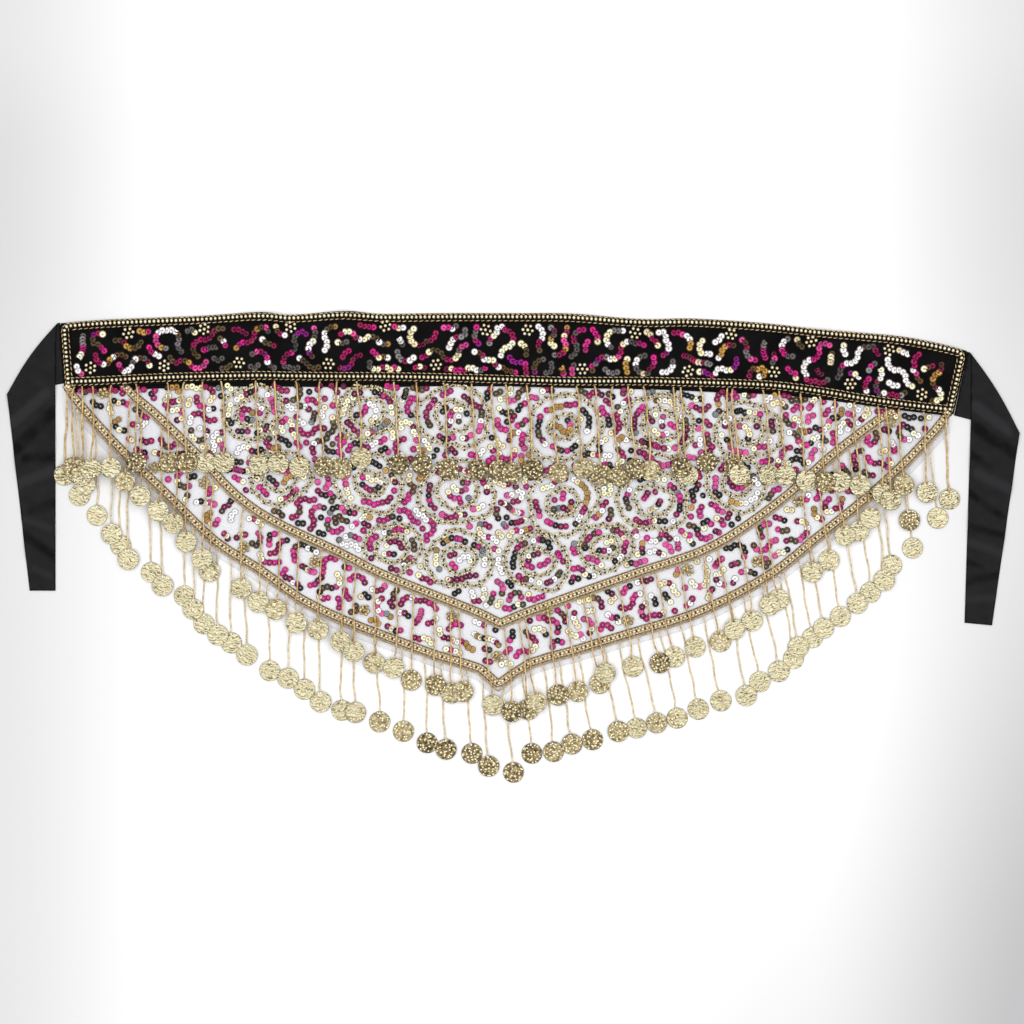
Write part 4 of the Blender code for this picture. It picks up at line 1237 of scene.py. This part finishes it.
flowers = {
    "band": [
        (-402, 170), (-366, 203), (-332, 172), (-294, 207), (-261, 175), (-212, 209), (-176, 174),
        (-122, 210), (-74, 173), (-27, 206), (13, 206), (65, 169), (115, 203), (165, 167), (206, 202),
        (247, 166), (282, 195), (319, 155), (356, 187), (387, 145),
    ],
    "border": [
        (-390, 146), (-341, 75), (-294, 61), (-256, 0), (-189, -14), (-142, -60), (-59, -66), (32, -60),
        (108, -70), (165, -22), (231, -14), (270, 43), (357, 118), (-16, -104),
    ],
    "beads": 6, "ring": {"band": 4.5, "border": 4.1}, "radius": {"band": 1.6, "border": 2.05},
    "room": {"band": 8.6, "border": 8.0}, "facets": (8, 6),
}
rosettes = {
    "centres": [  # x, y, outer radius, inner share, turn
        (-249, 128, 27, 0.5, 0.3), (-139, 128, 27, 0.52, 1.1), (-57, 124, 32, 0.48, 2.0),
        (47, 114, 33, 0.36, 0.6), (139, 116, 31, 0.5, 2.6), (222, 110, 29, 0.45, 1.5),
        (-222, 66, 27, 0.5, 0.9), (-137, 60, 30, 0.42, 2.2), (-54, 52, 33, 0.5, 1.4),
        (46, 42, 32, 0.42, 0.2), (132, 44, 31, 0.5, 1.9), (211, 60, 27, 0.44, 2.9),
        (-116, -2, 26, 0.5, 0.7), (-52, -12, 29, 0.46, 1.8), (22, -14, 29, 0.48, 2.4),
        (87, 0, 24, 0.46, 1.0),
    ],
    "ringPoints": 73, "rows": (-1.1, 1.1), "beadPitch": 2.3, "beadRadius": 1.3, "eyeRadius": 1.05,
    "eyeRows": ((0, 5.4), (2.2, 15), (-2.2, 12)),  # dark dots, a painted shade in the gaps between beads: distance aside of the ring, pitch
    "squash": (0.97, 0.92, 0.95), "innerShare": 1.1, "between": 1.12,
    "room": 4.8, "roomStep": 2.5, "sequinStep": 4.6, "run": (3, 8), "pause": (1, 3), "loose": 0.5,
    "kept": 6,
    "belowSeam": 6, "offBorder": 5.2,
    "wobble": (  # how far a ring is out of round: size, count, share of its turn and of its radius
        (0.07, 2, 1, 0), (0.05, 3, 2, 0.2), (0.03, 5, 3, 0), (0.018, 9, 0, 1),
    ),
}
sequins = {
    "cup": 0.42, "film": 0.12, "segments": 10, "rimFrom": 0.9,
    "lift": (0.1, 0.25), "spill": (0.1, 0.09), "sizes": (0.93, 1.04), "fade": (0.65, 1.35),
    "turns": (1, 0.2, 2, -1, -2.2, 3.2), "hold": (3, 6), "apart": 1.45, "calm": 0.35,
    # a trail's step, its gap to others, its run of sequins and how it bends; change is how often its colour
    # changes; tight is the share of closer trails, their step and their lean
    "band": {
        "radius": 3.45, "hole": 0.5, "step": 4.25, "gap": 8.2, "run": (6, 19), "least": 3, "bend": 0.5,
        "tries": 14000, "lean": 0.12, "change": 0.55, "shade": (0.4, 1.0), "tight": (0.1, 0.7, 0.35),
        "low": (-430, 130), "high": (430, 222),
        "clear": {"left": 9, "right": 12, "seam": 6.5, "top": 12, "edging": 7.5},
    },
    "net": {
        "radius": 3.2, "hole": 0.66, "step": 4.5, "gap": 6.6, "run": (3, 12), "least": 1, "bend": 0.6,
        "tries": 14000, "lean": 0.1, "change": 0.6, "shade": (0.0, 1.0), "tight": (0.1, 0.72, 0.4),
        "low": (-415, -130), "high": (405, 158), "borderGap": 8.3,
        "clear": {"seam": 8.5, "hem": 7.5, "edging": 7.8},
    },
    "tints": {
        "magenta": (0.5, 0.012, 0.19), "crimson": (0.28, 0.004, 0.08), "plum": (0.15, 0.002, 0.045),
        "purple": (0.22, 0.005, 0.18), "pink": (0.64, 0.065, 0.28), "smoke": (0.085, 0.078, 0.075),
        "haze": (0.2, 0.19, 0.19), "olive": (0.075, 0.052, 0.02), "brown": (0.09, 0.042, 0.014),
        "charcoal": (0.01, 0.009, 0.007), "silver": (1.35, 1.33, 1.28), "pale": (1.1, 0.96, 0.6),
        "amber": (0.45, 0.25, 0.055), "mist": (0.19, 0.21, 0.225),
    },
    "bandMix": {
        "magenta": 0.16, "crimson": 0.12, "plum": 0.03, "purple": 0.03, "pink": 0.05, "smoke": 0.13,
        "haze": 0.06, "olive": 0.1, "brown": 0.05, "silver": 0.15, "pale": 0.12, "amber": 0.04,
    },
    "netMix": {
        "magenta": 0.18, "crimson": 0.16, "plum": 0.09, "pink": 0.08, "charcoal": 0.13, "olive": 0.05,
        "brown": 0.03, "pale": 0.19, "silver": 0.1, "amber": 0.035, "mist": 0.02,
    },
}


class Laid:  # plan places already taken, in square cells
    def __init__(self, cell=9.0):
        self.cell, self.cells = cell, {}

    def key(self, spot):
        return int(spot[0] // self.cell), int(spot[1] // self.cell)

    def add(self, spot, room=0.0):
        self.cells.setdefault(self.key(spot), []).append((spot[0], spot[1], room))

    def free(self, spot, gap):
        column, row = self.key(spot)
        for i in (column - 1, column, column + 1):
            for j in (row - 1, row, row + 1):
                for x, y, room in self.cells.get((i, j), ()):
                    if math.hypot(x - spot[0], y - spot[1]) < (room or gap):
                        return False
        return True


def snakes(inside, laid, spec, gap, dice):
    # short winding trails: each step turns a little, and the turn swings over now and then
    found = []
    for _ in range(spec["tries"]):
        spot = dice.uniform(spec["low"], spec["high"])
        if not inside(spot) or not laid.free(spot, gap):
            continue
        heading, swing = dice.uniform(0, 2 * math.pi), dice.choice((-1, 1)) * spec["bend"]
        share, closer, lean = spec["tight"]
        step = spec["step"]
        if dice.random() < share:
            step, swing = step * closer, swing * sequins["calm"]
        else:
            lean = spec["lean"]
        run, length = [(spot, heading, lean)], dice.integers(*spec["run"])
        hold = dice.integers(*sequins["hold"])
        while len(run) < length:
            for turn in sequins["turns"]:
                ahead = heading + turn * swing
                after = spot + step * np.array((math.cos(ahead), math.sin(ahead)))
                clear = all(np.linalg.norm(after - old[0]) > sequins["apart"] * step for old in run[:-1])
                if clear and inside(after) and laid.free(after, gap):
                    spot, heading = after, ahead
                    run.append((spot, heading, lean))
                    break
            else:
                break
            hold -= 1
            if hold <= 0:
                swing, hold = -swing, dice.integers(*sequins["hold"])
        if len(run) >= spec["least"]:
            for place, *_ in run:
                laid.add(place)
            found.append(run)
    return found


def tinted(count, spec, mix, dice):  # a trail keeps its colour for a few sequins
    names, weights = list(mix), np.array(list(mix.values()))
    chosen, tints = None, []
    for _ in range(count):
        if chosen is None or dice.random() < spec["change"]:
            chosen = dice.choice(names, p=weights / weights.sum())
        tint = np.array(sequins["tints"][chosen]) * dice.uniform(*sequins["fade"])
        tints.append(np.clip(tint, 0, 1))
    return tints


def sequinCloud(name, runs, spec, mix, dice):
    spots, turns, tints = [], [], []
    (low, spread), (aslant, tipped) = sequins["lift"], sequins["spill"]
    for run in runs:
        for (spot, heading, lean), tint in zip(run, tinted(len(run), spec, mix, dice)):
            spots.append(spot)
            turns.append((dice.normal(0, aslant), -lean + dice.normal(0, tipped), heading))
            tints.append((*tint, 1))
    spots = np.array(spots)
    heights = clothTop(spots) + low + spread * dice.random(len(spots))
    sizes = unevenSizes(dice, len(spots), *sequins["sizes"])
    return pointsMesh(name, np.column_stack([spots, heights]), turn=turns, size=sizes, tint=tints)


beads = {"sizes": (0.92, 1.06), "spin": 6}


def beadCloud(name, spots, lift, loose, dice):
    spots = np.array(spots) + dice.normal(0, loose, (len(spots), 2))
    places = np.column_stack([spots, clothTop(spots) + lift])
    turns = np.column_stack([np.zeros((len(spots), 2)), dice.uniform(0, beads["spin"], len(spots))])
    return pointsMesh(name, places, turn=turns, size=unevenSizes(dice, len(spots), *beads["sizes"]))


def flowerSpots(cloth, dice):
    spots, ring = [], flowers["ring"][cloth]
    for x, y in flowers[cloth]:
        start = dice.uniform(0, 1)
        spots.append((x, y))
        for k in range(flowers["beads"]):
            angle = start + k * 2 * math.pi / flowers["beads"]
            spots.append((x + ring * math.cos(angle), y + ring * math.sin(angle)))
    return spots


def ringLine(x, y, radius, turn, squash):  # a hand-sewn ring: a little out of round
    angles = np.linspace(0, 2 * math.pi, rosettes["ringPoints"])
    uneven = radius * (1 + sum(
        size * np.sin(count * angles + share * turn + part * radius)
        for size, count, share, part in rosettes["wobble"]
    ))
    return np.column_stack([x + uneven * np.cos(angles), y + squash * uneven * np.sin(angles)])


def awayFrom(spot, path):
    return float(np.linalg.norm(path - spot, axis=1).min())


lineStep = 2
hemLine, borderLine = (evenly(vee(layout[key], 4), lineStep) for key in ("hem", "border"))
waistLine = evenly(waistEdgingPath(), lineStep)


def sequinPiece(cloth):
    spec, film, cup = sequins[cloth], sequins["film"], sequins["cup"]
    hole, radius, (inner, outer) = spec["hole"], spec["radius"], spec["shade"]
    profile = [(hole, film), (radius, cup + film), (radius, cup), (hole, 0.0)]
    piece = prototype(cloth + "Sequin", lathe(profile, sequins["segments"], False))
    reach = [math.hypot(v.co.x, v.co.y) / (radius * mm) for v in piece.data.vertices]
    numbersOn(piece.data, "edge", "FLOAT", [outer if r > sequins["rimFrom"] else inner for r in reach])
    return piece


def sewSequins(cloth, runs, dice):
    name = cloth + "Sequins"
    print(name, sum(len(run) for run in runs))
    cloud = sequinCloud(name + "Spots", runs, sequins[cloth], sequins[cloth + "Mix"], dice)
    scattered(name, cloud, sequinPiece(cloth), "sequinFilm", [])


dice = np.random.default_rng(23)
bandLaid, netLaid = Laid(), Laid()
for centre in flowers["band"]:
    bandLaid.add(centre, flowers["room"]["band"])


def onBand(spot):
    (x, y), clear = spot, sequins["band"]["clear"]
    if not layout["bandLeft"][1] + clear["left"] < x < layout["bandRight"][1] - clear["right"]:
        return False
    if not heightAt(bandSeam, x) + clear["seam"] < y < heightAt(bandTop, x) - clear["top"]:
        return False
    return awayFrom(spot, waistLine) > clear["edging"]


sewSequins("band", snakes(onBand, bandLaid, sequins["band"], sequins["band"]["gap"], dice), dice)

ringSpots, gapShadeSpots, ringRuns = [], [], []
outerSquash, innerSquash, middleSquash = rosettes["squash"]
for x, y, radius, inner, turn in rosettes["centres"]:
    for share, squash in ((1, outerSquash), (inner * rosettes["innerShare"], innerSquash)):
        line = ringLine(x, y, radius * share, turn, squash)
        for side in rosettes["rows"]:
            ringSpots += list(evenly(aside(line, side), rosettes["beadPitch"])[:-1])
        for side, pitch in rosettes["eyeRows"]:
            gapShadeSpots += list(evenly(aside(line, side), pitch)[:-1])
        for spot in evenly(line, rosettes["roomStep"]):
            netLaid.add(spot, rosettes["room"])
    middle = ringLine(x, y, radius * (1 + rosettes["between"] * inner) / 2, turn, middleSquash)
    spots = evenly(middle, rosettes["sequinStep"])
    k, last = 0, len(spots) - 1
    while k < last:
        count = dice.integers(*rosettes["run"])
        sewn = [(spots[j], spots[j + 1] - spots[j]) for j in range(k, min(k + count, last))]
        k += count + dice.integers(*rosettes["pause"])
        ringRuns.append([
            (spot + dice.normal(0, rosettes["loose"], 2), math.atan2(run[1], run[0]), sequins["net"]["lean"])
            for spot, run in sewn
        ])
    for run in ringRuns[-rosettes["kept"]:]:  # later trails keep clear of the last runs of each ring
        for spot, *_ in run:
            netLaid.add(spot)
for centre in flowers["border"]:
    netLaid.add(centre, flowers["room"]["border"])


def onNet(spot):
    (x, y), spec = spot, sequins["net"]
    clear = spec["clear"]
    if not spec["low"][0] < x < spec["high"][0]:
        return False
    if y > heightAt(bandSeam, x) - clear["seam"] or y < heightAt(hemLine, x) + clear["hem"]:
        return False
    return all(awayFrom(spot, line) > clear["edging"] for line in (hemLine, borderLine))


def aboveBorder(spot):
    return spot[1] > heightAt(borderLine, spot[0])


def onField(spot):  # the net above its border edging
    return onNet(spot) and aboveBorder(spot)


def clearOfEdgings(spots):
    return [
        spot for spot in spots
        if spot[1] < heightAt(bandSeam, spot[0]) - rosettes["belowSeam"]
        and awayFrom(spot, borderLine) > rosettes["offBorder"] and aboveBorder(spot)
    ]


netRuns = [[place for place in run if onNet(place[0])] for run in ringRuns]
for inside, gap in ((onField, "gap"), (onNet, "borderGap")):
    netRuns += snakes(inside, netLaid, sequins["net"], sequins["net"][gap], dice)
sewSequins("net", [run for run in netRuns if run], dice)
sprinkled = (  # name, places, height, looseness, bead and finish
    ("bandFlowers", flowerSpots("band", dice), 1.35, 0.15,
     ball(flowers["radius"]["band"], *flowers["facets"]), "bandBead"),
    ("netFlowers", flowerSpots("border", dice), 1.2, 0.3,
     ball(flowers["radius"]["border"], *flowers["facets"]), "flowerBead"),
    ("rosetteBeads", clearOfEdgings(ringSpots), 0.85, 0.4, grain(rosettes["beadRadius"]), "paleBead"),
    # dark dots: painted shade between the rosettes' beads
    ("rosetteEyes", clearOfEdgings(gapShadeSpots), 1.5, 0.45, grain(rosettes["eyeRadius"]), "beadEye"),
)
for name, spots, lift, loose, bead, finish in sprinkled:
    cloud = beadCloud(name + "Spots", spots, lift, loose, dice)
    scattered(name, cloud, prototype(name + "Bead", bead), finish, [])
for piece in prototypes:
    bpy.data.objects.remove(piece)
print("beadwork made")

studio = {
    "floor": (0.97, 0.97, 0.975), "floorSideShade": (0.5, 0.5, 0.508), "floorSize": 6, "floorDrop": 0.0002,
    # where a painted shade turns the floor grey: towards its sides, one corner and a stretch of its upper
    # half
    "sides": (0.27, 0.52), "corner": (0.39, 0.96), "upper": (0.05, 0.3), "above": (0.36, 0.5),
    "world": 0.38, "panelX": 1.62, "panelSize": (2.5, 5.0), "panelZ": 3.4, "panelLight": 2.15,
    # where the camera looks, its height, its view's width, its film and the end of its reach
    "centre": (-1.9, 33.25), "height": 3.0, "side": 972.8, "sensor": 36, "reach": 20,
}


def floorFinish():
    paint = Finish("paperFloor")
    grainy = paint.noise(0.004, 3)
    x, y = paint.axes()
    sides = paint.between(x.maths("ABSOLUTE"), *studio["sides"])
    corner = paint.between(x - y, *studio["corner"])
    upper = paint.between(y, *studio["upper"]) * (1 - paint.between(y, *studio["above"]))
    # painted shade: the floor darkens towards its sides, one corner and part of its upper half
    shade = sides * (upper * 0.14 + 0.55) + corner * 0.5 + grainy * 0.02
    return paint.coat({
        "Base Color": paint.mix(shade, studio["floor"], studio["floorSideShade"]),
        "Roughness": grainy * 0.1 + 0.75, "Specular IOR Level": 0.2,
    })


form = bmesh.new()
bmesh.ops.create_grid(form, x_segments=1, y_segments=1, size=studio["floorSize"])
bmesh.ops.translate(form, vec=(0, 0, cadBox[0].z - studio["floorDrop"]), verts=form.verts[:])
floor = stand("studioFloor", meshOf(form, "studioFloor"))
floor.data.materials.append(floorFinish())
floor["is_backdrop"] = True

world = bpy.data.worlds.new("studio")
world.use_nodes = True
world.node_tree.nodes["Background"].inputs[0].default_value = (*[studio["world"]] * 3, 1)
scene.world = world
for side in (-1, 1):
    lamp = bpy.data.lights.new("panel", "AREA")
    lamp.shape, lamp.size, lamp.size_y = "RECTANGLE", *studio["panelSize"]
    lamp.energy = studio["panelLight"] * math.pi * lamp.size * lamp.size_y
    stand("panel", lamp).location = (side * studio["panelX"], 0, studio["panelZ"])

camera = bpy.data.cameras.new("camera")
camera.sensor_width = studio["sensor"]
camera.lens = camera.sensor_width * studio["height"] / (studio["side"] * mm)
camera.clip_end = studio["reach"]
scene.camera = stand("camera", camera)
scene.camera.location = (*toRow((*studio["centre"], 0))[:2], studio["height"])
scene.view_settings.view_transform = "Standard"

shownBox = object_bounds()
for title, box in (("cad", cadBox), ("shown", shownBox)):
    print(title, "box in mm", [tuple(round(v / mm, 1) for v in corner) for corner in box])
